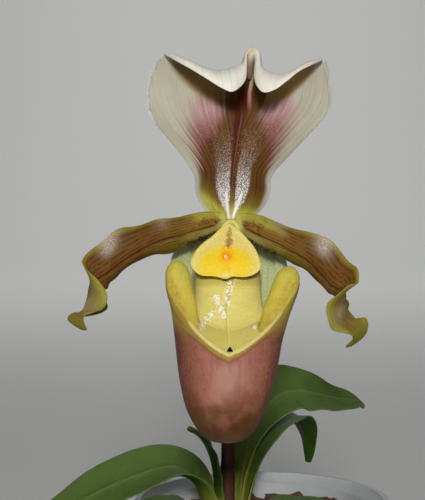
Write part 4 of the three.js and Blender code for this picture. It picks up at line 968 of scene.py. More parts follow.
class ORCHID_OT_petals(bpy.types.Operator):
    """Make both petals, and the brown hairs at their feet"""

    bl_idname = "orchid.petals"
    bl_label = "Petals"

    def execute(self, context):
        settings = context.scene.orchid_flower
        finish, bristles = petal_finish(settings), hair_finish(settings)
        rng = np.random.default_rng(8)
        across, along = grid(np.linspace(-1, 1, 41),
                             np.concatenate([np.linspace(0, 0.45, 90), np.linspace(0.453, 0.988, 170)]))
        for name, shape in PETALS.items():
            inner = 1 if name == "petal_left" else -1
            points = petal_sheet(shape, across, along)
            normals = facing(points) * inner
            wave = PETAL_WAVE * np.abs(across) ** 3 * np.sin(58 * along + 2 * across) * ease(along, 0.05, 0.2)
            channel = (
                PETAL_CHANNEL * hump(across, 0, 0.1) * ease(along, 0.02, 0.1)
                * (1 - ease(along, 0.55, 0.7))
            )
            points = points + normals * (wave - channel)[..., None]
            taper = 1 - 0.7 * np.abs(across) ** 6
            sheen = sum(share * hump(along, place, width) for place, width, share in PETAL_SHEEN[name])
            skin = blade(points, settings.petal_thickness / MM / 2 * taper, across=across, along=along,
                         sheen=sheen, bloom=hump(along, 0.72, 0.05) * hump(across, 0.2, 0.5))
            skin.values["side"] = skin.values["side"] * inner
            piece(name + "_bloom", skin.placed(), finish, name)
            strands = []
            for (low, high), (start, end), share, lean in PETAL_TUFTS:
                count = int(settings.petal_hairs * share)
                column = index_at(rng.uniform(low, high, count), across[0])
                row = index_at(rng.uniform(start, end, count), along[:, 0])
                away = unit(0.45 * normals[row, column] + lean * UP + rng.normal(0, 0.7, (count, 3)))
                strands.append(hairs(points[row, column] + 0.2 * normals[row, column], away,
                                     rng.uniform(0.5, 1.25, count), settings.hair_radius / MM * 1.45,
                                     rng.normal(0, 0.3, (count, 3)) - 0.2 * UP))
            strands = together(strands)
            piece(name + "_hairs", strands.placed(), bristles, name)
        return {"FINISHED"}


# ---- Lip ----------------------------------------------------------------------------------------

# Cross-sections of the pouch from its toe to its mouth: middle x, half width, half depth,
# middle y, height.
POUCH_SECTIONS = [
    (-1, 0, 0, -12.5, -47), (-0.9, 3.2, 3.1, -12.4, -46.5), (-0.8, 5.4, 5.5, -12.2, -44.9),
    (-0.9, 6.9, 7.1, -12, -43), (-0.9, 8.6, 8.8, -11.7, -39.5), (-0.8, 9.8, 9.8, -11.3, -35.1),
    (-0.6, 10.7, 10.5, -10.9, -30.5), (-0.4, 11.5, 10.7, -10.3, -25.2), (0.1, 12.7, 10, -9.6, -19.6),
    (0.5, 14.1, 8.2, -9.3, -14.5), (0.6, 14.6, 7.2, -9.1, -9.5),
]
# The mouth's height round the pouch, from its front at 0 degrees to its back at 180.
MOUTH_HEIGHT = [
    (0, -27.9), (14, -26.6), (26, -25), (36, -23.5), (44, -22), (52, -20.1), (60, -17.8), (68, -15.4),
    (76, -13.7), (86, -12.5), (96, -12.3), (108, -14.5), (128, -19.5), (150, -20.5), (180, -19.5),
]
MOUTH_TILT = -0.45
# Where the mauve of the pouch's outside ends, from its front to its back.
BLUSH_HEIGHT = [
    (0, -28.9), (15, -27.5), (28, -25.7), (40, -24), (50, -22.9), (60, -22), (72, -21.2), (90, -20.8),
    (180, -20),
]
# The rolled ears at the mouth's sides, from the tip down along the rim, and the line of brown flecks down
# each, partly painted shade where the ear's roll meets the pouch's wall, as (x, z) at its two ends.
EARS = [
    [
        (-11.8, -10.6, -8.3), (-11.25, -11, -11.8), (-10.75, -11.8, -15), (-9.8, -13.3, -17.8),
        (-8.7, -15.2, -20.3), (-7.7, -16.7, -22.4), (-6.6, -17.9, -24.2),
    ],
    [
        (12.9, -10.6, -9.5), (12, -11, -12.8), (10.8, -11.9, -16), (9.5, -13.4, -18.6), (8.1, -15.3, -21),
        (6.9, -16.8, -23), (5.7, -17.9, -24.8),
    ],
]
EAR_SPECK_SHADE = [((-12.7, -13.2), (-9.0, -20.9)), ((12.9, -13.0), (8.1, -21.3))]
EAR_WIDTH = [
    (0, 0.5), (0.03, 1.5), (0.09, 2.35), (0.2, 2.75), (0.4, 2.8), (0.55, 2.5), (0.7, 1.9), (0.85, 1.2),
    (1, 0.6),
]
EAR_FLATNESS = 0.8
# The neck of infolded lobes that runs from the mouth up behind the column: the places of its
# front, its side and its back at each level, from the top to the mouth.
NECK_FRONT = [
    (-0.6, -7.2, -9.8), (-0.6, -8, -13), (-0.5, -10.2, -17), (-0.4, -13.6, -21.2), (-0.3, -17.3, -25.2),
    (-0.2, -19.9, -27.9),
]
NECK_SIDE = [
    (5.6, -2.8, -6.6), (6.6, -3.2, -11), (6.7, -4.5, -15), (7.1, -8.5, -19), (8, -10.5, -21.5),
    (8.4, -11, -24),
]
NECK_BACK = [(0, 0.3, -2.8), (0, 0.2, -8), (0, 0, -13), (0, -0.4, -18), (0, -0.8, -22), (0, -1, -25)]
# The lines on the lobes along which they are glossy and carry painted glints, and one painted glint spot on
# the right lobe.
GLOSS_AND_GLINT_LINES = [((-0.2, -13.4), (-0.6, -17.6)), ((-3.0, -16.2), (-1.4, -20.2)), ((-3.9, -19.6), (-6.0, -21.8))]
GLINT_SPOT = (5.0, -22.2)
# Where the right lobe's edge runs over the left one: its turn at each level of the neck, the x of
# the line at each height as (z, x), and the step between the lobes.
SEAM_PLACE = [(0, 0.15), (0.07, 0.12), (0.18, 0.064), (0.3, 0.029), (0.5, -0.016), (0.88, -0.011), (1, -0.01)]
SEAM_LINE = [
    (-27.9, -0.5), (-26.3, -0.53), (-19.2, -0.81), (-15.1, 0.08), (-12.6, 0.74), (-10.9, 1.6), (-9.8, 2.2),
]
SEAM_STEP = 0.5
THROAT_HOLE = {"centre": (-0.25, -19, -26.75), "radius": 0.75, "depth": 6}
# The foot of the lobes: how far round it reaches in half turns, where on the neck it begins, and
# how far it is raised.
APRON_TURN, APRON_LEVEL, APRON_RISE = 0.32, 0.68, 0.35
# The bead's radius at an angle from the front, in degrees, and how far round it runs.
RIM_BEAD = [(0, 0.5), (40, 0.48), (60, 0.36), (74, 0.12)]
RIM_TURN = 76
RIM_INSET = 0.35
POUCH_SIDES = 160
# The value of a distance at points that it is not meant for.
FAR = 9


def pouch_axis(up):
    """The pouch's middle x, half width, half depth, middle y and height at a share of its sections."""
    sections = np.array(POUCH_SECTIONS)
    outline = route(sections[:, [0, 1, 4]], up)
    depth = route(sections[:, [3, 2, 4]], up)
    return outline[..., 0], outline[..., 1], depth[..., 1], depth[..., 0], outline[..., 2]


def mouth_height(angle):
    """The height of the mouth's edge at an angle from the front; it is a little lower on the right."""
    from_front = np.abs((np.degrees(angle) + 180) % 360 - 180)
    return through(MOUTH_HEIGHT, from_front) + MOUTH_TILT * np.sin(angle)


def mouth_level(angle):
    """How far up its sections the pouch reaches at an angle: the share whose height is the mouth's."""
    shares = np.linspace(0, 1, 4000)
    heights = pouch_axis(shares)[4]
    return np.interp(mouth_height(angle), heights, shares)


def pouch_points(angle, level, inset):
    """Points of the pouch: middle + (half width * sin, -half depth * cos) of the angle from the
    front, at a level from the toe at 0 to the mouth's own edge at 1."""
    x, half_width, half_depth, y, z = pouch_axis(mouth_level(angle) * level)
    width, depth = np.maximum(half_width - inset, 0.02), np.maximum(half_depth - inset, 0.02)
    return np.stack([x + width * np.sin(angle), y - depth * np.cos(angle), z], -1)


def pouch(wall):
    """The pouch as a sock: up the outside to the mouth, and down the inside to the toe again."""
    angle, level = grid(turns(POUCH_SIDES), np.linspace(0.02, 1, 110) ** 0.8)
    outside = pouch_points(angle, level, 0)
    inside = pouch_points(angle, level, wall)
    inside[..., 2] += (1 - level) ** 6 * wall
    return loft(np.concatenate([outside, inside[::-1]]))


def ear(points):
    """A fat finger that dwindles along the rim: ellipses square to the path and to the depth."""
    t = np.linspace(0, 1, 60)
    width = through(EAR_WIDTH, t)[:, None, None]
    sideways = unit(np.cross(heading(points, t), DEPTH))[:, None]
    angle = turns(36)[None, :, None]
    return loft(route(points, t)[:, None] - width * np.cos(angle) * sideways
                + EAR_FLATNESS * width * np.sin(angle) * DEPTH)


def neck_points(turn, down):
    """The neck's sheet: ellipses through its front, side and back, turned by an angle from the
    front. The right lobe stands a step before the left one at their seam."""
    angle = turn * math.pi
    front, side, back = route(NECK_FRONT, down), route(NECK_SIDE, down), route(NECK_BACK, down)
    middle = np.stack([front[..., 0], side[..., 1], side[..., 2]], -1)
    points = middle + (front - middle) * np.maximum(np.cos(angle), 0)[..., None]
    points += (back - middle) * np.maximum(-np.cos(angle), 0)[..., None]
    points[..., 0] += side[..., 0] * np.sin(angle)
    past = turn - through(SEAM_PLACE, down)
    left_sinks = hump(past, 0, 0.05) * (past < 0)
    right_stands = 0.6 * ease(past, -0.006, 0.006) * hump(past, 0, 0.2)
    points[..., 1] += SEAM_STEP * (left_sinks - right_stands)
    return points


def throat_apron():
    """The lobes' foot, running out over the wall to the rim: the straight line from a level of the
    neck to the mouth's edge, raised by rise * sin(pi out) up and to the front."""
    turn, out = grid(np.linspace(-APRON_TURN, APRON_TURN, 90), np.linspace(0, 1, 14))
    inner = neck_points(turn, np.full_like(turn, APRON_LEVEL))
    outer = pouch_points(turn * math.pi, np.ones_like(turn), 0.5)
    rise = APRON_RISE * np.sin(math.pi * out)[..., None] * (0.8 * UP - 0.6 * DEPTH)
    return inner + (outer - inner) * out[..., None] + rise


def rim_bead():
    """A bead along the front of the mouth's edge, standing a little outside the wall."""
    angle = np.radians(np.linspace(-RIM_TURN, RIM_TURN, 90))
    radius = through(RIM_BEAD, np.abs(np.degrees(angle)))
    return tube(pouch_points(angle, np.ones(90), RIM_INSET), radius[:, None], 16, DEPTH)


def throat_hole():
    """A three-sided prism through the lobes at the lowest point of the mouth."""
    angle = math.pi / 2 + turns(3)
    ring = THROAT_HOLE["radius"] * np.stack([np.cos(angle), 0 * angle, np.sin(angle)], -1)
    ends = np.array([-0.5, 0.5])[:, None, None] * THROAT_HOLE["depth"] * DEPTH
    return loft(THROAT_HOLE["centre"] + ring[None] + ends)


def nearest(points, line, width=1.0):
    """Each point's distance to the nearest of a line's points, as a share of the line's width there."""
    best = np.full(len(points), np.inf)
    for place, unit_width in zip(line, np.broadcast_to(width, len(line))):
        best = np.minimum(best, np.linalg.norm(points - place, axis=1) / unit_width)
    return best


def to_segment(x, z, ends):
    """The distance in the plane of x and z from a point to the straight line between two ends."""
    (ax, az), (bx, bz) = ends
    t = np.clip(((x - ax) * (bx - ax) + (z - az) * (bz - az)) / ((bx - ax) ** 2 + (bz - az) ** 2), 0, 1)
    return np.hypot(x - ax - t * (bx - ax), z - az - t * (bz - az))


def lip_values(points, normals):
    """Where each point of the lip is: its turn round the pouch and its height; whether it is on the
    pouch's outer skin, on the throat's lobes or on a shoulder; how far above the blush it stands; and
    its distance from the rim, the ears' flecked lines of painted shade, the lobes' seam, the lines of gloss
    and painted glints and the painted glint spot."""
    x, y, z = points.T
    shares = np.linspace(0, 1, 400)
    middle_x, half_width, half_depth, middle_y, height = pouch_axis(shares)
    at_height = lambda values: np.interp(z, height, values)
    from_x, from_y = x - at_height(middle_x), y - at_height(middle_y)
    wide, deep = np.maximum(at_height(half_width), 0.5), np.maximum(at_height(half_depth), 0.5)
    angle = np.arctan2(from_x / wide, -from_y / deep)
    degrees = np.abs(np.degrees(angle))
    inside = (1 - np.hypot(from_x / wide, from_y / deep)) * np.minimum(wide, deep)
    edge = pouch_points(np.radians(np.linspace(-RIM_TURN, RIM_TURN, 180)), np.ones(180), RIM_INSET)
    specks = np.minimum(*(to_segment(x, z, ends) for ends in EAR_SPECK_SHADE))
    neck = (np.abs(x + 0.5) < 8.5) & (inside > 0.3) & (normals[:, 1] < 0.2)
    along_ear = np.linspace(0, 1, 60)
    ear_gap = np.min([nearest(points, route(path, along_ear), through(EAR_WIDTH, along_ear))
                      for path in EARS], 0)
    wet = np.min([to_segment(x, z, ends) for ends in GLOSS_AND_GLINT_LINES], 0)
    return {
        "turn": angle / math.pi,
        "height": z,
        "skin": ease(inside, 0.7, 0.35) * ease(z - mouth_height(angle), 0.5, 0.1),
        "blush": z - through(BLUSH_HEIGHT, degrees),
        # rim: the distance grows on faces that turn down, so the bead's upper half takes the cream and its
        # lower half the painted shadow line
        "rim": nearest(points, edge) + 0.003 * degrees + 0.3 * ease(-normals[:, 2], -0.25, 0.35),
        "specks": np.where(normals[:, 1] < 0.35, specks, FAR),
        "seam": np.where(neck, x - through(SEAM_LINE, z), FAR),
        "throat": neck * ease(ear_gap, 1.05, 1.25),
        "wet": np.where(neck, wet, FAR),
        "spot": np.where(neck, np.hypot(x - GLINT_SPOT[0], z - GLINT_SPOT[1]), FAR),
        "shoulder": ease(z, -25, -15) * ease(degrees, 40, 75),
    }


def lip_finish(settings):
    """Mauve outside, veined and mottled, with sides darkened partly by their own red-brown and partly as
    painted shade, a painted sheen down the middle of the front, a tawny toe and olive shoulders; a thin cream
    rim on the bead's upper half over a painted shadow line; butter-yellow ears with a line of russet flecks
    that is partly painted shade where each ear meets the wall; paler lobes with a painted shadow of the
    shield at their top, painted shade and highlight along their seam, and painted glints where they catch the
    light, glossier there."""
    f = Finish("lip_wax", (0.2, 0.8))
    turn, height, skin, blush = (f.value(name) for name in ("turn", "height", "skin", "blush"))
    throat, shoulder, rim, seam = (f.value(name) for name in ("throat", "shoulder", "rim", "seam"))
    side = abs(turn)
    blotch = f.noise(5).ease(0.35, 0.68)
    patch = f.noise(2.6).ease(0.42, 0.64)
    fine = f.noise(0.7, detail=4).ease(0.38, 0.66)
    net = f.streaks(turn, height, 22, 0.16, 2.0).ease(0.48, 0.68)
    # the sides: the pouch's own darker red-brown, deepened as painted shade where the sides turn away
    flank_shade = (side + blotch * 0.06).ease(0.15, 0.44)
    toe = (height + blotch * 3.5 - side * 6.0).ease(-34, -43)
    # painted sheen: a paler patch down the middle of the front
    front_sheen = side.ease(0.16, 0.02) * height.ease(-39, -34) * height.ease(-28.5, -31)
    outside = f.lay(
        settings.mauve,
        (blotch * 0.4, (0.42, 0.18, 0.16)),
        (patch * 0.3, (0.4, 0.21, 0.09)),
        (front_sheen * 0.4, (0.5, 0.3, 0.25)),
        (flank_shade * 0.9, (0.125, 0.026, 0.011)),
        (net * 0.4, (0.22, 0.06, 0.055)),
        (fine * 0.22, (0.44, 0.22, 0.13)),
        (toe * 0.92, settings.tawny),
        (toe * patch * 0.5, (0.1, 0.065, 0.008)),
        (shoulder * blush.ease(-8, -0.5) * 0.85, (0.22, 0.12, 0.008)),
        # painted shadow: a brown line at the top of the mauve, just beneath the rim
        (blush.ease(-1.0, -0.2) * side.ease(0.45, 0.3) * 0.75, (0.2, 0.09, 0.025)),
    )
    ears = f.lay(
        settings.butter,
        (patch * 0.35, (0.5, 0.36, 0.03)),
        (fine * 0.25, (0.62, 0.54, 0.14)),
        (height.ease(-17, -9) * f.noise(2.2).ease(0.36, 0.6) * 0.5, (0.4, 0.38, 0.07)),
        (shoulder * skin * 0.9, (0.215, 0.145, 0.008)),
        (height.ease(-17, -24) * 0.75, (0.4, 0.28, 0.03)),
    )
    lobes = f.lay(
        settings.custard,
        (patch * 0.3, (0.7, 0.56, 0.09)),
        (fine * 0.3, (0.82, 0.75, 0.34)),
        (height.ease(-19, -26, 0.0, 0.6), (0.52, 0.42, 0.075)),
        # painted shadow of the shield on the lobes' top
        (height.ease(-14.6, -12.8, 0.0, 0.7), (0.48, 0.35, 0.06)),
    )
    # brown flecks down each ear, partly painted shade where the ear's roll meets the pouch's wall
    specks_and_shade = f.value("specks").ease(1.7, 0.2) * f.noise(1.1, detail=4).ease(0.3, 0.66) * 0.5
    bound = side.ease(0.2, 0.36)
    mauve = skin * f.mix(bound, blush.ease(0.35, -0.35), blush.ease(1.6, -3.5))
    # painted shade in the groove beside the lobes' seam, and a painted highlight on the right lobe's
    # overlapping edge
    crease = seam.ease(-0.5, -0.06) * seam.ease(0.05, 0.0)
    crest = seam.ease(0.0, 0.06) * seam.ease(0.5, 0.1)
    # painted shadow: the brown-olive line beneath the rim
    rim_shadow = skin * rim.ease(0.55, 0.8) * side.ease(0.5, 0.3)
    # painted highlights: white glints along these lines and on one spot of the right lobe, which are also
    # made glossier
    wet = f.value("wet").ease(1.5, 0.1)
    glint = (f.grit(0.55) + wet * 0.16).ease(0.635, 0.685) * wet
    colour = f.lay(
        f.mix(throat, ears, lobes),
        (specks_and_shade, (0.32, 0.15, 0.025)),
        (rim_shadow * 0.8, (0.3, 0.2, 0.045)),
        (mauve, outside),
        (crease * 0.35, (0.46, 0.33, 0.04)),
        (crest * 0.3, (0.88, 0.82, 0.42)),
        (rim.ease(0.72, 0.52, 0.0, 0.75), settings.cream),
        (glint, (0.97, 0.96, 0.86)),
        (f.value("spot").ease(0.5, 0.25), (0.97, 0.96, 0.86)),
    )
    f.set("Base Color", colour)
    f.set("Roughness", skin.ease(0.0, 1.0, 0.5, 0.44) - wet * 0.25)
    f.set("Specular IOR Level", skin.ease(0.0, 1.0, 0.2, 0.1) + wet * 0.3)
    relief = skin.ease(1.0, 0.0) * 1.2 + (wet * 1.5 + 0.5)
    f.bump(f.grit(0.28) * relief + fine * 0.3, 0.14, 0.7)
    return f.material


class ORCHID_OT_lip(bpy.types.Operator):
    """Make the lip: pouch, ears, rim and throat fused into one body"""

    bl_idname = "orchid.lip"
    bl_label = "Lip"

    def execute(self, context):
        settings = context.scene.orchid_flower
        wall = settings.lip_wall / MM
        turn, down = grid(np.linspace(-0.97, 0.97, 260), np.linspace(0, 1, 110))
        neck = blade(neck_points(turn, down), wall / 2)
        apron = blade(throat_apron(), wall * 0.4)
        parts = together([pouch(wall), *(ear(points) for points in EARS), neck, apron, rim_bead()])
        finish = lip_finish(settings)
        lip = piece("lip_bloom", Skin(parts.points, parts.quads, parts.triangles), finish, "lip")
        cutter = piece("throat_cutter", throat_hole(), finish, None)
        fused = lip.modifiers.new("fuse", "REMESH")
        fused.mode, fused.voxel_size = "VOXEL", settings.lip_grain
        cut_out(lip, cutter, "throat hole")
        smooth = lip.modifiers.new("smooth", "SMOOTH")
        smooth.factor, smooth.iterations = 0.5, 4
        mesh = apply_all(lip, cutter)
        points = read_points(mesh)
        normals = np.empty(len(points) * 3)
        mesh.vertex_normals.foreach_get("vector", normals)
        write_values(mesh, lip_values(points, normals.reshape(-1, 3)))
        mesh.vertices.foreach_set("co", (in_plant(points) * MM).ravel())
        mesh.update()
        return {"FINISHED"}


# ---- Column -------------------------------------------------------------------------------------

SHIELD_OUTLINE = [
    (-0.1, 0, -0.4), (-1.9, 0, -1.3), (-4, 0, -3.2), (-6.1, 0, -4.8), (-7.7, 0, -6.7), (-8.4, 0, -8.7),
    (-7.9, 0, -10.2), (-6.4, 0, -11.4), (-4.4, 0, -11.6), (-2.7, 0, -11.8), (-1, 0, -12.2), (0.5, 0, -11.7),
    (2.9, 0, -11.8), (5, 0, -11.2), (6.4, 0, -9.8), (6.1, 0, -7.8), (5.1, 0, -5.6), (3.7, 0, -3.8),
    (2, 0, -2), (-0.1, 0, -0.4),
]
SHIELD_MIDDLE = np.array([-1, 0, -7.4])
SHIELD_THICKNESS, SHIELD_BULGE = 0.5, 0.012
SHIELD_TOP_DEPTH = -5.6
SHIELD_SLOPE = 0.45
SHIELD_DOME = 1.0
BOSS_PLACE = (-0.85, -7.6)
GLINT_PLACE = (-1.1, -7.4)
BOSS_HEIGHT = 0.45
BOSS_REACH = 0.85

# The russet line below the shield's tip as overlapping blots: place, half width, half height.
LINE_BLOTS = [
    (-0.1, -1.9, 0.4, 1.0), (-0.25, -2.7, 0.65, 0.9), (-0.2, -3.5, 0.4, 1.1), (-0.3, -4.3, 0.9, 0.8),
    (-0.6, -5.0, 0.4, 0.9),
]
COLLAR_CENTRE, COLLAR_RADII = (0.2, 0.5, -1.1), (2.5, 1.1, 1.75)
COLUMN_STALK = [(0.1, 1.2, -0.4), (0, -2, -2), (-0.4, -5.4, -4.6), (-0.8, -8.6, -6.8)]
# The middle and half sizes of the yellow's pale surround, and the half width of the boss's colour,
# which reaches further up than down.
GLOW_PLACE, GLOW_RADII = (-1, -9.3), (5.6, 3.9)
BOSS_BLUSH, BOSS_STRETCH = 1.5, 0.8
COLUMN_HAIRS = 30
STIGMA = (-0.3, -4.4, -6.2), (2.1, 1.3, 2.6)
ANTHERS = [((x, -3.2, -3.6), (1.1, 1, 1.1)) for x in (-2.1, 1.7)]


def shield_points(round_, out):
    """The shield's face: from its middle out to its outline, leaning forward below, domed by
    dome * (1 - out^2), with a bell for the boss, a lip at its edge and a dip above the boss."""
    edge = route(SHIELD_OUTLINE, round_)
    points = SHIELD_MIDDLE + (edge - SHIELD_MIDDLE) * out[..., None]
    x, z = points[..., 0], points[..., 2]
    boss = np.exp(-((x - BOSS_PLACE[0]) ** 2 + (z - BOSS_PLACE[1]) ** 2) / BOSS_REACH**2)
    dip = np.exp(-(((x + 0.4) / 0.7) ** 2 + ((z + 4.6) / 1.6) ** 2))
    mucro = np.exp(-(((x + 1) / 0.9) ** 2 + ((z + 11.2) / 1.1) ** 2))
    points[..., 1] = (SHIELD_TOP_DEPTH + SHIELD_SLOPE * z - SHIELD_DOME * (1 - out**2) - BOSS_HEIGHT * boss
                      + 0.45 * dip - 0.45 * mucro - 0.22 * hump(out, 0.95, 0.07))
    return points


def shield():
    """The shield's face, a half-round edge, and its back, lofted from the middle round to the middle."""
    round_, out = grid(np.arange(200) / 200,
                       np.concatenate([np.linspace(0.02, 0.95, 60), np.linspace(0.96, 1, 6)]))
    face = shield_points(round_, out)
    back = face[::-1].copy()
    back[..., 1] = np.maximum(back[..., 1], back[:1, :, 1] - 0.6) + SHIELD_THICKNESS
    bulge = (face[-1] - SHIELD_MIDDLE) * [SHIELD_BULGE, 0, SHIELD_BULGE]
    tuck = np.stack([face[-1] + bulge * out + DEPTH * SHIELD_THICKNESS * deep
                     for deep, out in ((0.2, 0.8), (0.5, 1), (0.8, 0.8))])
    return loft(np.concatenate([face, tuck, back]))


def sphere(angle, latitude):
    """Points of the unit sphere at an angle round Z and a latitude."""
    around = np.cos(latitude)
    return np.stack([around * np.cos(angle), around * np.sin(angle), np.sin(latitude)], -1)


def ellipsoid(centre, radii, sides=32):
    """A sphere's rings from pole to pole, stretched to three half sizes."""
    angle, latitude = grid(turns(sides), np.linspace(-0.98, 0.98, sides // 2) * math.pi / 2)
    return loft(sphere(angle, latitude) * radii + centre)


def column_values(points):
    """Where each point of the column is: its place, how far out on the shield's face as a share of
    the outline there, how near the boss, the russet line, the painted glint on the boss and the golden
    middle."""
    x, y, z = points.T
    edge = (route(SHIELD_OUTLINE, np.linspace(0, 1, 400)) - SHIELD_MIDDLE).T
    from_x, from_z = x - SHIELD_MIDDLE[0], z - SHIELD_MIDDLE[2]
    here = np.interp(np.arctan2(from_x, from_z), np.arctan2(edge[0], edge[2]), np.hypot(edge[0], edge[2]),
                     period=2 * math.pi)
    face = y < SHIELD_TOP_DEPTH + SHIELD_SLOPE * z + SHIELD_THICKNESS + 0.3
    line = np.min([np.hypot((x - lx) / wide, (z - lz) / tall) for lx, lz, wide, tall in LINE_BLOTS], 0)
    above = (z - BOSS_PLACE[1]) / BOSS_BLUSH * np.where(z > BOSS_PLACE[1], BOSS_STRETCH, 1.0)
    return {
        "x": x,
        "z": z,
        "out": np.where(face, np.hypot(from_x, from_z) / here, 0),
        "boss": np.exp(-(((x - BOSS_PLACE[0]) / BOSS_BLUSH) ** 2 + above**2)) * face,
        "line": np.where(face, line, FAR),
        "glow": np.hypot((x - GLOW_PLACE[0]) / GLOW_RADII[0], (z - GLOW_PLACE[1]) / GLOW_RADII[1]),
        "drop": np.where(face, np.hypot(x - GLINT_PLACE[0], z - GLINT_PLACE[1]), FAR),
    }


def column_finish(settings):
    """Canary yellow, golden round an orange boss that carries a painted glint, paler to the rim and up
    towards its stalk, where a soft russet line runs down; over the paler parts, pale grains are painted as
    crystalline sparkle."""
    f = Finish("column_wax", (0.2, 0.6))
    x, z, out, boss = f.value("x"), f.value("z"), f.value("out"), f.value("boss")
    fine = f.noise(0.45, detail=3).ease(0.42, 0.64)
    grit = f.grit(0.22).ease(0.56, 0.63)
    pale = (f.value("glow") + fine * 0.2).ease(0.85, 1.4)
    lower = z.ease(-10.0, -11.9) * abs(x + 1.0).ease(2.6, 0.6)
    ragged = f.value("line") + (f.noise(0.6, detail=3) - 0.5) * 2.0
    line = ragged.ease(1.15, 0.6, 0.0, 0.85)
    golden = f.value("glow").ease(0.8, 0.1, 0.0, 0.5)
    colour = f.lay(
        settings.canary,
        (golden, (0.86, 0.5, 0.0)),
        (fine * 0.3, (0.84, 0.66, 0.03)),
        (pale * 0.85, (0.68, 0.56, 0.17)),
        (lower * 0.6, (0.8, 0.7, 0.25)),
        (out.ease(0.9, 0.99, 0.0, 0.5), (0.82, 0.7, 0.1)),
        (boss.ease(0.05, 0.45, 0.0, 0.75), (0.86, 0.44, 0.0)),
        (boss.ease(0.42, 0.75), settings.orange),
        (line, f.mix(z.ease(-3.6, -2.4), (0.36, 0.13, 0.006), (0.36, 0.22, 0.008))),
        # painted highlight: a white glint on the boss
        (f.value("drop").ease(0.3, 0.15), (1.0, 0.97, 0.86)),
        # painted highlights: pale grains standing for the shield's crystalline sparkle
        (grit * pale.larger(lower) * 0.4, (0.94, 0.88, 0.58)),
    )
    f.set("Base Color", colour)
    f.set("Roughness", boss.ease(0.4, 0.8, 0.5, 0.4))
    f.set("Specular IOR Level", boss.ease(0.4, 0.8, 0.22, 0.2))
    f.bump(f.grit(0.3) * boss.ease(0.6, 0.2, 0.0, 1.4) + fine * 0.5, 0.08, 0.7)
    return f.material


class ORCHID_OT_column(bpy.types.Operator):
    """Make the column: shield, stalk, stigma, anthers, and the hairs at the shield's top"""

    bl_idname = "orchid.column"
    bl_label = "Column"

    def execute(self, context):
        settings = context.scene.orchid_flower
        stalk = tube(route(COLUMN_STALK, np.linspace(0, 1, 40)), np.linspace(0.9, 1.6, 40)[:, None], 32)
        anthers = [ellipsoid(*anther) for anther in ANTHERS]
        collar = ellipsoid(COLLAR_CENTRE, COLLAR_RADII, 64)
        skin = together([shield(), stalk, ellipsoid(*STIGMA), collar, *anthers])
        skin.values = column_values(skin.points)
        piece("column_bloom", skin.placed(), column_finish(settings), "column")
        rng = np.random.default_rng(3)
        count = COLUMN_HAIRS
        place = np.stack([rng.normal(-0.2, 0.3, count), np.zeros(count), rng.uniform(-5.0, -2.0, count)], -1)
        place[:, 1] = SHIELD_TOP_DEPTH + SHIELD_SLOPE * place[:, 2] - 0.35
        away = unit(np.array([0, -1, 0.1]) + rng.normal(0, 0.6, (count, 3)))
        strands = hairs(place, away, rng.uniform(0.2, 0.5, count), settings.hair_radius / MM * 0.7,
                        rng.normal(0, 0.2, (count, 3)))
        piece("column_hairs", strands.placed(), bpy.data.materials["bristle_brown"], "column")
        return {"FINISHED"}


# ---- Stalk: ovary, bract and scape --------------------------------------------------------------

OVARY_PATH = [(0.2, 33, -9.7), (0.2, 21, -5.2), (0.1, 10, -1.5), (0.1, 3.2, -0.3)]
OVARY_RADIUS = 2.3
OVARY_SWELL = [(0, 0.6), (0.15, 0.72), (0.5, 1), (0.85, 0.95), (1, 1.2)]
OVARY_RIBS, OVARY_RIB_HEIGHT = 6, 0.08
BRACT_END = 0.55
BRACT_WRAP = 2.2
BRACT_RADIUS, BRACT_FLARE = 2.1, 1.6
BRACT_THICKNESS = 0.7
SCAPE_RADIUS = 1.5


def scape_path(t):
    """The stem's route from the crown to the joint that it makes with the ovary."""
    x, y, z = CROWN_CENTRE
    joint = in_plant(np.array(OVARY_PATH[0]))
    onward = in_plant(heading(OVARY_PATH, np.array([0.001]))) - in_plant(np.zeros(3))
    points = [(x, y, z - 3), (x - 0.2, y - 1, z + 20), (x - 0.4, y - 5.5, z + 42),
              (x - 0.2, y - 13, z + 58.5), joint - 5 * onward[0], joint - 0.3 * onward[0]]
    return route(points, t)


def bract_points(across, along):
    """A pointed sheath round the ovary's underside: an arc of radius + flare * along about the ovary's
    own path, as wide as wrap * (1 - along^1.6) radians to either side."""
    t = along * BRACT_END
    forward = heading(OVARY_PATH, np.clip(t, 0.001, 0.999))
    below = unit(np.cross(forward, ACROSS))
    below *= np.where(below[..., 2:] > 0, -1, 1)
    angle = across * BRACT_WRAP * (1 - along**1.6)
    flare = (BRACT_RADIUS + BRACT_FLARE * along)[..., None]
    return (
        route(OVARY_PATH, t)
        + flare * (below * np.cos(angle)[..., None] + ACROSS * np.sin(angle)[..., None])
    )


def stalk_hairs(path, radius, count, seed, settings):
    """Short hairs that stand square to a stem, at even chance all over it."""
    rng = np.random.default_rng(seed)
    t = rng.uniform(0.02, 0.98, count) * (len(path) - 1)
    index = t.astype(int)
    direction = unit(np.gradient(path, axis=0))[index]
    side = unit(np.cross(direction, ACROSS + 0.01 * UP))
    other = np.cross(direction, side)
    angle = rng.uniform(0, 2 * math.pi, count)[:, None]
    away = np.cos(angle) * side + np.sin(angle) * other
    spot = path[index] + (path[index + 1] - path[index]) * (t - index)[:, None]
    lean = unit(away + rng.normal(0, 0.25, (count, 3)))
    return hairs(spot + away * (radius[index, None] - 0.1), lean, rng.uniform(0.3, 0.8, count),
                 settings.hair_radius / MM * 0.7, rng.normal(0, 0.15, (count, 3)))


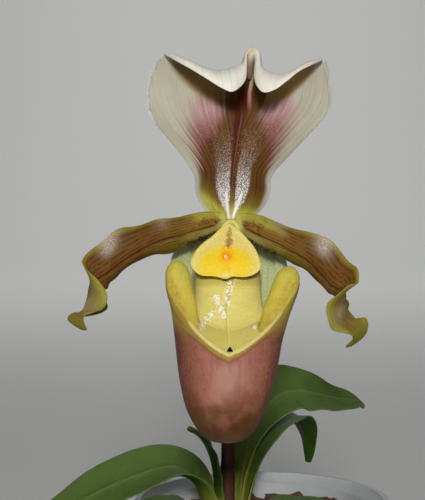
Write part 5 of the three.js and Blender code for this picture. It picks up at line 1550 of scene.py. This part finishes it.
def stalk_finish(name, colour, shade, ribbed):
    """A matt, finely mottled stem; a ribbed one is purple along its ribs."""
    f = Finish(name, (0.1, 0.6), roughness=0.55, specular=0.25)
    mottle = f.noise(0.9, detail=4).ease(0.36, 0.66)
    dark = f.value("rib").ease(0.5, 1.0) if ribbed else f.noise(3).ease(0.4, 0.7)
    f.set("Base Color", f.lay(colour, (mottle * 0.5, shade), (dark * 0.7, (0.09, 0.03, 0.03))))
    f.bump(mottle, 0.1, 0.6)
    return f.material


class ORCHID_OT_stalk(bpy.types.Operator):
    """Make the ovary, its bract and the scape, with their short hairs"""

    bl_idname = "orchid.stalk"
    bl_label = "Ovary, bract and scape"

    def execute(self, context):
        flower, plant = context.scene.orchid_flower, context.scene.orchid_plant
        t = np.linspace(0, 1, 160)
        path = route(OVARY_PATH, t)
        rib = np.cos(turns(72) * OVARY_RIBS)[None]
        radius = OVARY_RADIUS * through(OVARY_SWELL, t)
        ovary = tube(path, radius[:, None] * (1 + OVARY_RIB_HEIGHT * rib), 72,
                     rib=np.broadcast_to(rib, (160, 72)))
        whole = together([ovary, ellipsoid((0.1, 3.4, -0.2), (3, 1.8, 2.8)),
                          stalk_hairs(path, radius, plant.stem_hairs // 3, 5, flower)])
        piece("ovary_bloom", whole.placed(),
              stalk_finish("ovary_ribbed", plant.ovary_green, (0.17, 0.19, 0.05), True), "ovary")
        across, along = grid(np.linspace(-1, 1, 60), np.linspace(0.02, 0.96, 80))
        sheath = blade(bract_points(across, along), BRACT_THICKNESS / 2 * (1 - 0.6 * across**4))
        piece("bract_bloom", sheath.placed(),
              stalk_finish("bract_green", (0.20, 0.25, 0.06), (0.13, 0.17, 0.04), False), "bract")
        t = np.linspace(0, 1, 220)
        path, radius = scape_path(t), SCAPE_RADIUS * (1.15 - 0.15 * t)
        stem = tube(path, radius[:, None], 40)
        whole = together([stem, stalk_hairs(path, radius, plant.stem_hairs, 7, flower)])
        piece("scape_bloom", whole, stalk_finish("scape_brown", plant.scape_brown, (0.05, 0.02, 0.01), False),
              "scape")
        return {"FINISHED"}


# ---- Leaves -------------------------------------------------------------------------------------

# Compass bearing, distance of the clasping foot from the crown's middle, half width, roll about its
# own length, swing of the bearing towards the tip, and the route as (out, height) from the crown.
LEAVES = {
    "leaf_1": (186, 5.9, 9.6, -26, 2, [
        (5.9, -3), (6.3, 5), (8.8, 12), (14.5, 15.3), (24, 13.1), (35, 8.6), (46, 2.4), (57, -5.5),
        (67, -14)]),
    "leaf_2": (34, 3.7, 9.4, 35, -2, [
        (3.7, -3), (4.1, 9), (6.5, 20), (11, 28), (17, 32.3), (23.5, 32.6), (30, 31), (36, 29.4),
        (41, 28.6), (44, 27)]),
    "leaf_3": (50, 4.8, 8.4, 10, 4, [
        (4.8, -3), (5.3, 7), (8.5, 17), (15, 23.5), (24, 25.5), (32, 23), (37, 16.5), (38.5, 9.5)]),
    "leaf_4": (178, 2.6, 5.4, 10, -14, [(2.6, -3), (2.9, 8), (3.8, 16), (5.6, 21), (8, 23.8), (11, 25)]),
    "leaf_5": (222, 8.1, 9.2, 6, -6, [
        (8.1, -3), (8.8, 2.5), (12, 6.2), (17, 7.4), (26, 7), (36, 2.5), (45, -6), (51, -15)]),
    "leaf_6": (316, 7, 9, -6, 8, [
        (7, -3), (7.7, 2.5), (11, 6), (17, 7.6), (26, 8.4), (37, 7), (47, 0), (54, -9)]),
}
LEAF_TAPER = [(0, 1), (0.45, 1), (0.62, 0.86), (0.76, 0.56), (0.88, 0.32), (1, 0.1)]
LEAF_OPENING = [(0, 0), (0.12, 0.08), (0.38, 0.85), (0.6, 1)]
LEAF_CLASP = 1.25
LEAF_CHANNEL = 0.4
LEAF_ROLLED = 0.5
LEAF_END = 0.99
LEAF_RIPPLE, LEAF_MIDRIB = 0.18, 0.25


def compass(bearing):
    """The level direction at a bearing in degrees from X."""
    angle = np.radians(bearing)
    return np.stack([np.cos(angle), np.sin(angle), 0 * angle], -1)


def leaf_points(leaf, across, along):
    """Across a leaf: an arc that clasps its neighbours at the foot and opens to a shallow channel;
    along it: the route, turned to its bearing, its cross-section rolled about its direction."""
    azimuth, nest, half_width, roll, swing, path = leaf
    flat = np.array([(reach, 0, height) for reach, height in path])

    def spot(t):
        place = route(flat, t)
        return compass(azimuth + swing * t**2) * place[..., :1] + UP * place[..., 2:]

    direction = unit(spot(np.clip(along + 2e-3, 0, 1)) - spot(np.clip(along - 2e-3, 0, 1)))
    level = unit(np.cross(UP, compass(azimuth + swing * along**2)))
    turn = np.radians(roll) * np.minimum(along / LEAF_ROLLED, 1)[..., None] ** 2
    side = level * np.cos(turn) + np.cross(direction, level) * np.sin(turn)
    upper = np.cross(direction, side)
    opening = through(LEAF_OPENING, along)
    clasp = min(LEAF_CLASP, 0.75 * half_width / nest)
    curl = clasp + (LEAF_CHANNEL - clasp) * opening
    width = (nest * clasp + (half_width - nest * clasp) * opening) * through(LEAF_TAPER, along)
    bend, rise = width * np.sin(across * curl) / curl, width * (1 - np.cos(across * curl)) / curl
    ripple = LEAF_RIPPLE * np.sin(along * 37 + across * 2) * across**2 * opening
    return spot(along) + CROWN_CENTRE + side * bend[..., None] + upper * (rise + ripple)[..., None]


def leaf_finish(settings):
    """Deep green above with fine lengthwise veins and a faint mottle, paler below, limy at the foot
    and, on a leaf that has begun to fade, brown at the tip."""
    f = Finish("leaf_wax", (0.06, 0.8), roughness=0.42, specular=0.13)
    across, along = f.value("across"), f.value("along")
    above = f.value("side").ease(-0.2, 0.2)
    veins = f.streaks(across, along, 30, 2.0, 1.0).ease(0.46, 0.62)
    mottle = f.noise(6, detail=4).ease(0.4, 0.66)
    grain = f.noise(0.9, detail=3).ease(0.4, 0.64)
    keel = abs(across).ease(0.09, 0.0)
    edge = abs(across).ease(0.93, 0.99)
    upper = f.lay(
        settings.leaf_green,
        (mottle * 0.6, (0.032, 0.08, 0.004)),
        (veins * 0.35, (0.016, 0.046, 0.004)),
        (grain * 0.25, (0.042, 0.088, 0.006)),
        (keel * 0.6, (0.016, 0.045, 0.008)),
    )
    lower = f.lay(settings.leaf_under, (mottle * 0.5, (0.07, 0.13, 0.03)), (keel * 0.5, (0.16, 0.23, 0.08)))
    foot = (along + mottle * 0.06).ease(0.3, 0.12)
    colour = f.lay(
        f.mix(above, lower, upper),
        (edge * 0.5, (0.12, 0.19, 0.05)),
        (foot * 0.85, settings.sheath),
        (f.value("faded") * (along + mottle * 0.1).ease(0.93, 1.04) * 0.85, (0.2, 0.12, 0.045)),
    )
    f.set("Base Color", colour)
    f.bump(veins * 0.8 + grain * 0.6, 0.12, 0.55)
    return f.material


class ORCHID_OT_leaves(bpy.types.Operator):
    """Make the six strap-shaped leaves"""

    bl_idname = "orchid.leaves"
    bl_label = "Leaves"

    def execute(self, context):
        settings = context.scene.orchid_plant
        finish = leaf_finish(settings)
        across, along = grid(np.linspace(-1, 1, 61), np.linspace(0, LEAF_END, 220))
        half = settings.leaf_thickness / MM / 2 * (1 - 0.7 * np.abs(across) ** 6)
        half = half + LEAF_MIDRIB * hump(across, 0, 0.12)
        for name, leaf in LEAVES.items():
            skin = blade(leaf_points(leaf, across, along), half, across=across, along=along,
                         faded=1.0 if name == "leaf_2" else 0.0)
            piece(name + "_blade", skin, finish, name)
        return {"FINISHED"}


# ---- Crown, bark and pot ------------------------------------------------------------------------

CROWN_PROFILE = [
    (0.05, 0), (5.5, 0), (7.4, -0.1), (8.4, -1.5), (8.3, -3), (7.4, -5), (5.5, -7), (3, -8), (0.05, -8.5),
]
CROWN_TOP = 53.4
ROOT_BEARINGS = (20, 110, 200, 290)
ROOT_ROUTE = [(4, -8), (8, -16), (9.5, -30), (6, -44)]
ROOT_RADIUS = 1.5
POT_HEIGHT, POT_RIM, POT_FOOT, POT_WALL, POT_FLARE = 62, 34, 25, 1.4, 3
DRAIN_RING, DRAIN_RADIUS, DRAIN_HOLES = 15, 3, 8
BARK_LEVEL, BARK_CEILING, BARK_GAP = 52, 61, 0.3
CHIP_CLEARING = 11.5
# How square a chip is, from 1 for round to 0 for a block, and how ragged its faces are.
CHIP_ROUNDNESS, CHIP_RAGGED = 0.45, 0.09
GOLDEN_ANGLE = 137.5
POT_CREASE = math.radians(40)


def pot_outer(height):
    return POT_FOOT + (POT_RIM - POT_FLARE - POT_FOOT) * height / POT_HEIGHT


def pot_inner(height):
    return pot_outer(height) - POT_WALL


def chip(centre, size, turn, lean, rng):
    """One bark chip: a block whose faces are pushed out to flat plates, ragged by a little noise."""
    along, up = grid(turns(20), np.linspace(-1, 1, 9) * math.pi / 2 * 0.97)
    ball = sphere(along, up)
    block = np.sign(ball) * np.abs(ball) ** CHIP_ROUNDNESS
    block *= 1 + CHIP_RAGGED * rng.normal(0, 1, ball.shape[:2])[..., None] * np.cos(up)[..., None]
    c, s, cl, sl = math.cos(turn), math.sin(turn), math.cos(lean), math.sin(lean)
    spin = np.array([[c, -s, 0], [s, c, 0], [0, 0, 1]]) @ np.array([[1, 0, 0], [0, cl, -sl], [0, sl, cl]])
    return loft(block * np.array(size) / 2 @ spin.T + centre)


def bark_body():
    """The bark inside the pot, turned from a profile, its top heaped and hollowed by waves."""
    reach = pot_inner(BARK_LEVEL) - 1.2
    top = [(r, BARK_LEVEL - 0.4 + 0.9 * math.sin(r * 1.1)) for r in np.linspace(0.05, reach, 26)]
    wall = [(pot_inner(z) - BARK_GAP, z) for z in np.linspace(BARK_LEVEL - 0.6, 2, 14)]
    return lathe([*top, *wall, (pot_inner(2) - 1.5, 1.8), (0.05, 1.8)], 96)


def bark_finish(settings):
    """Red-brown flaking plates with dark hollows and pale broken fibres."""
    f = Finish("bark_fir", roughness=0.8, specular=0.2)
    plates = f.scatter(2.4)
    coarse, fine = f.noise(3.5, detail=5), f.noise(0.8, detail=5, roughness=0.7)
    colour = f.lay(
        settings.bark_red,
        (coarse.ease(0.42, 0.62) * 0.7, (0.13, 0.06, 0.04)),
        (plates.ease(0.1, 0.02), settings.bark_dark),
        (fine.ease(0.55, 0.7) * 0.55, (0.34, 0.19, 0.11)),
        (fine.ease(0.45, 0.32) * 0.7, settings.bark_dark),
    )
    f.set("Base Color", colour)
    f.bump(fine + coarse * 1.5, 0.6, 0.9)
    return f.material


def plain_finish(name, colour, shade, grain, roughness, depth):
    """One colour with a fine mottle of another and a slight relief."""
    f = Finish(name, roughness=roughness)
    mottle = f.noise(grain, detail=4).ease(0.36, 0.66)
    f.set("Base Color", f.lay(colour, (mottle * 0.5, shade)))
    f.bump(mottle, depth, 0.5)
    return f.material


def pot_body():
    """The pot's wall and floor as one turned skin, with drain holes still to be cut."""
    profile = [
        (0.05, 0), (23.6, 0), (24.4, 0.25), (25, 0.9), (pot_outer(54.4), 54.4), (32.9, 55.6), (33.5, 56.4),
        (33.95, 60.8), (33.75, 61.7), (33, 62), (32.2, 61.9), (31.8, 61.2), (pot_inner(62) - 0.2, 59.5),
        (pot_inner(55), 55), (pot_inner(2.2), 2.2), (pot_inner(1.4) - 0.9, 1.4), (0.05, 1.4),
    ]
    return lathe(profile, 192)


class ORCHID_OT_growing(bpy.types.Operator):
    """Make the crown with its roots, the bark and the pot"""

    bl_idname = "orchid.growing"
    bl_label = "Crown, bark and pot"

    def execute(self, context):
        settings = context.scene.orchid_plant
        middle = np.array([*CROWN_CENTRE[:2], 0])
        knuckle = lathe(CROWN_PROFILE, 64)
        bodies = [knuckle.moved(knuckle.points + middle + CROWN_TOP * UP)]
        t = np.linspace(0, 1, 60)
        for bearing in ROOT_BEARINGS:
            reach = route([(out, 0, CROWN_CENTRE[2] + drop) for out, drop in ROOT_ROUTE], t)
            path = compass(np.full(60, bearing)) * reach[:, :1] + UP * reach[:, 2:] + middle
            lateral = np.cross(UP, compass(bearing))
            bodies.append(tube(path, ROOT_RADIUS * (1 - 0.35 * t)[:, None], 20, lateral))
        finish = plain_finish("root_brown", settings.root_brown, (0.14, 0.09, 0.05), 1.2, 0.7, 0.2)
        piece("crown_root", together(bodies), finish, "crown")
        self.bark(settings)
        self.pot(settings)
        return {"FINISHED"}

    def bark(self, settings):
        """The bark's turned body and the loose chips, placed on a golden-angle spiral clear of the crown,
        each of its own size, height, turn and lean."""
        rng = np.random.default_rng(11)
        chips = [bark_body()]
        for number in range(settings.bark_chips):
            reach = 3 + 26.5 * math.sqrt((number + 0.5) / settings.bark_chips)
            place = compass(number * GOLDEN_ANGLE) * reach
            if np.linalg.norm(place - np.array([*CROWN_CENTRE[:2], 0])) < CHIP_CLEARING:
                continue
            size = rng.uniform((6, 4.5, 2), (12, 8, 4.2))
            lean = rng.uniform(-0.55, 0.55)
            rise = (size[1] * abs(math.sin(lean)) + size[2] * math.cos(lean)) / 2
            height = min(BARK_LEVEL + 1 + rng.uniform(0, 3.5), BARK_CEILING - rise)
            limit = pot_inner(height) - 0.8 - size[0] / 2
            place = place * min(1, limit / np.linalg.norm(place))
            chips.append(chip(place + height * UP, size, rng.uniform(0, 6.28), lean, rng))
        piece("bark_chips", together(chips), bark_finish(settings), "bark_mix")

    def pot(self, settings):
        """The pot with its drain holes cut out of the floor."""
        finish = plain_finish("pot_cloudy", settings.plastic, (0.40, 0.42, 0.43), 6, 0.34, 0.04)
        pot = piece("pot_turned", pot_body(), finish, "pot")
        hole = lathe([(0.02, -1), (DRAIN_RADIUS, -1), (DRAIN_RADIUS, 3), (0.02, 3)], 32)
        places = [compass(k * 360 / DRAIN_HOLES) * DRAIN_RING for k in range(DRAIN_HOLES)]
        holes = [hole.moved(hole.points + place) for place in places]
        cutter = piece("drain_cutter", together(holes), finish, None)
        cut_out(pot, cutter, "drain holes")
        apply_all(pot, cutter).set_sharp_from_angle(angle=POT_CREASE)


# ---- Stage --------------------------------------------------------------------------------------

CAMERA_AIM = (-13.15, -64.2, 133.2)
CAMERA_TILT = math.radians(85.5)
CAMERA_LENS = 130.87
SWEEP_WIDTH, SWEEP_FRONT, SWEEP_BACK, SWEEP_HEIGHT, SWEEP_ROUND = 6000, -2500, 2000, 1600, 600
# The lights' places and sizes; the wide ones also with their share of the power.
KEY, KEY_SPREAD = ((-16, -735, 325), 70), math.radians(70)
BACK, BACK_AIM = ((0, 1150, 1000), 900), (0, 1750, 150)
FILLS = [((-620, -260, 420), 520, 0.8), ((640, -220, 460), 520, 0.8), ((0, -180, 760), 500, 1.6)]


def add_light(name, place, size, power, aim, spread=math.pi):
    """A square area light at a place in millimetres, turned to face the aim, with the spread of its beam."""
    data = bpy.data.lights.new(name, "AREA")
    data.size, data.energy, data.spread = size * MM, power, spread
    light = bpy.data.objects.new(name, data)
    bpy.context.scene.collection.objects.link(light)
    light.location = Vector(place) * MM
    light.rotation_euler = ((Vector(aim) - Vector(place)) * MM).to_track_quat("-Z", "Y").to_euler()
    return light


class ORCHID_OT_stage(bpy.types.Operator):
    """Make the floor with its sweep, the lights, the surround and the camera"""

    bl_idname = "orchid.stage"
    bl_label = "Stage"

    def execute(self, context):
        settings = context.scene.orchid_stage
        turn = np.linspace(0, math.pi / 2, 24)
        bend = SWEEP_ROUND * np.stack([np.sin(turn) - 1, 1 - np.cos(turn)], -1) + [SWEEP_BACK, 0]
        line = np.vstack([[SWEEP_FRONT, 0], bend, [SWEEP_BACK, SWEEP_HEIGHT]])
        rows = np.stack([np.repeat([[-SWEEP_WIDTH / 2, SWEEP_WIDTH / 2]], len(line), 0),
                         np.repeat(line[:, :1], 2, 1), np.repeat(line[:, 1:], 2, 1)], -1)
        sheet = Skin(rows, cells(np.arange(2 * len(line)).reshape(-1, 2))[:, ::-1])
        finish = plain_finish("floor_pale", settings.floor_colour, settings.floor_colour, 50, 0.9, 0.01)
        floor = piece("floor", sheet, finish, None)
        key = add_light("key", *KEY, settings.key_power, FLOWER_CENTRE, KEY_SPREAD)
        behind = add_light("behind", *BACK, settings.back_power, BACK_AIM)
        fills = [add_light(f"fill_{k}", place, size, settings.fill_power * share, FLOWER_CENTRE)
                 for k, (place, size, share) in enumerate(FILLS)]
        camera = bpy.data.objects.new("camera", bpy.data.cameras.new("camera"))
        context.scene.collection.objects.link(camera)
        back = Vector((0, -math.sin(CAMERA_TILT), math.cos(CAMERA_TILT)))
        camera.location = Vector(CAMERA_AIM) * MM + back * settings.distance
        camera.rotation_euler = (CAMERA_TILT, 0, 0)
        camera.data.lens, camera.data.sensor_width, camera.data.sensor_fit = CAMERA_LENS, 36, "HORIZONTAL"
        camera.data.clip_start = 10 * MM
        context.scene.camera = camera
        world = bpy.data.worlds.new("surround")
        world.use_nodes = True
        sky = world.node_tree.nodes["Background"].inputs
        sky["Strength"].default_value, sky["Color"].default_value = settings.sky, (1, 1, 1, 1)
        context.scene.world = world
        context.scene.view_settings.view_transform = "Standard"
        return {"FINISHED"}


# ---- Panel and running --------------------------------------------------------------------------


class ORCHID_PT_panel(bpy.types.Panel):
    """The sidebar's list of pieces and settings"""

    bl_label = "Potted slipper orchid"
    bl_space_type = "VIEW_3D"
    bl_region_type = "UI"
    bl_category = "Orchid"

    def draw(self, context):
        for maker in MAKERS:
            self.layout.operator(maker.bl_idname)
        for name, kind in GROUPS.items():
            box = self.layout.box()
            for setting in kind.__annotations__:
                box.prop(getattr(context.scene, name), setting)


MAKERS = (ORCHID_OT_dorsal, ORCHID_OT_synsepal, ORCHID_OT_petals, ORCHID_OT_lip, ORCHID_OT_column,
          ORCHID_OT_stalk, ORCHID_OT_leaves, ORCHID_OT_growing, ORCHID_OT_stage)
GROUPS = {"orchid_flower": OrchidFlower, "orchid_plant": OrchidPlant, "orchid_stage": OrchidStage}
CLASSES = (*GROUPS.values(), *MAKERS, ORCHID_PT_panel)


def register():
    for each in CLASSES:
        bpy.utils.register_class(each)
    for name, kind in GROUPS.items():
        setattr(bpy.types.Scene, name, PointerProperty(type=kind))


def unregister():
    for name in GROUPS:
        delattr(bpy.types.Scene, name)
    for each in reversed(CLASSES):
        bpy.utils.unregister_class(each)


def main():
    """Makes every piece."""
    register()
    for maker in MAKERS:
        group, name = maker.bl_idname.split(".")
        getattr(getattr(bpy.ops, group), name)()


if __name__ == "__main__":
    main()
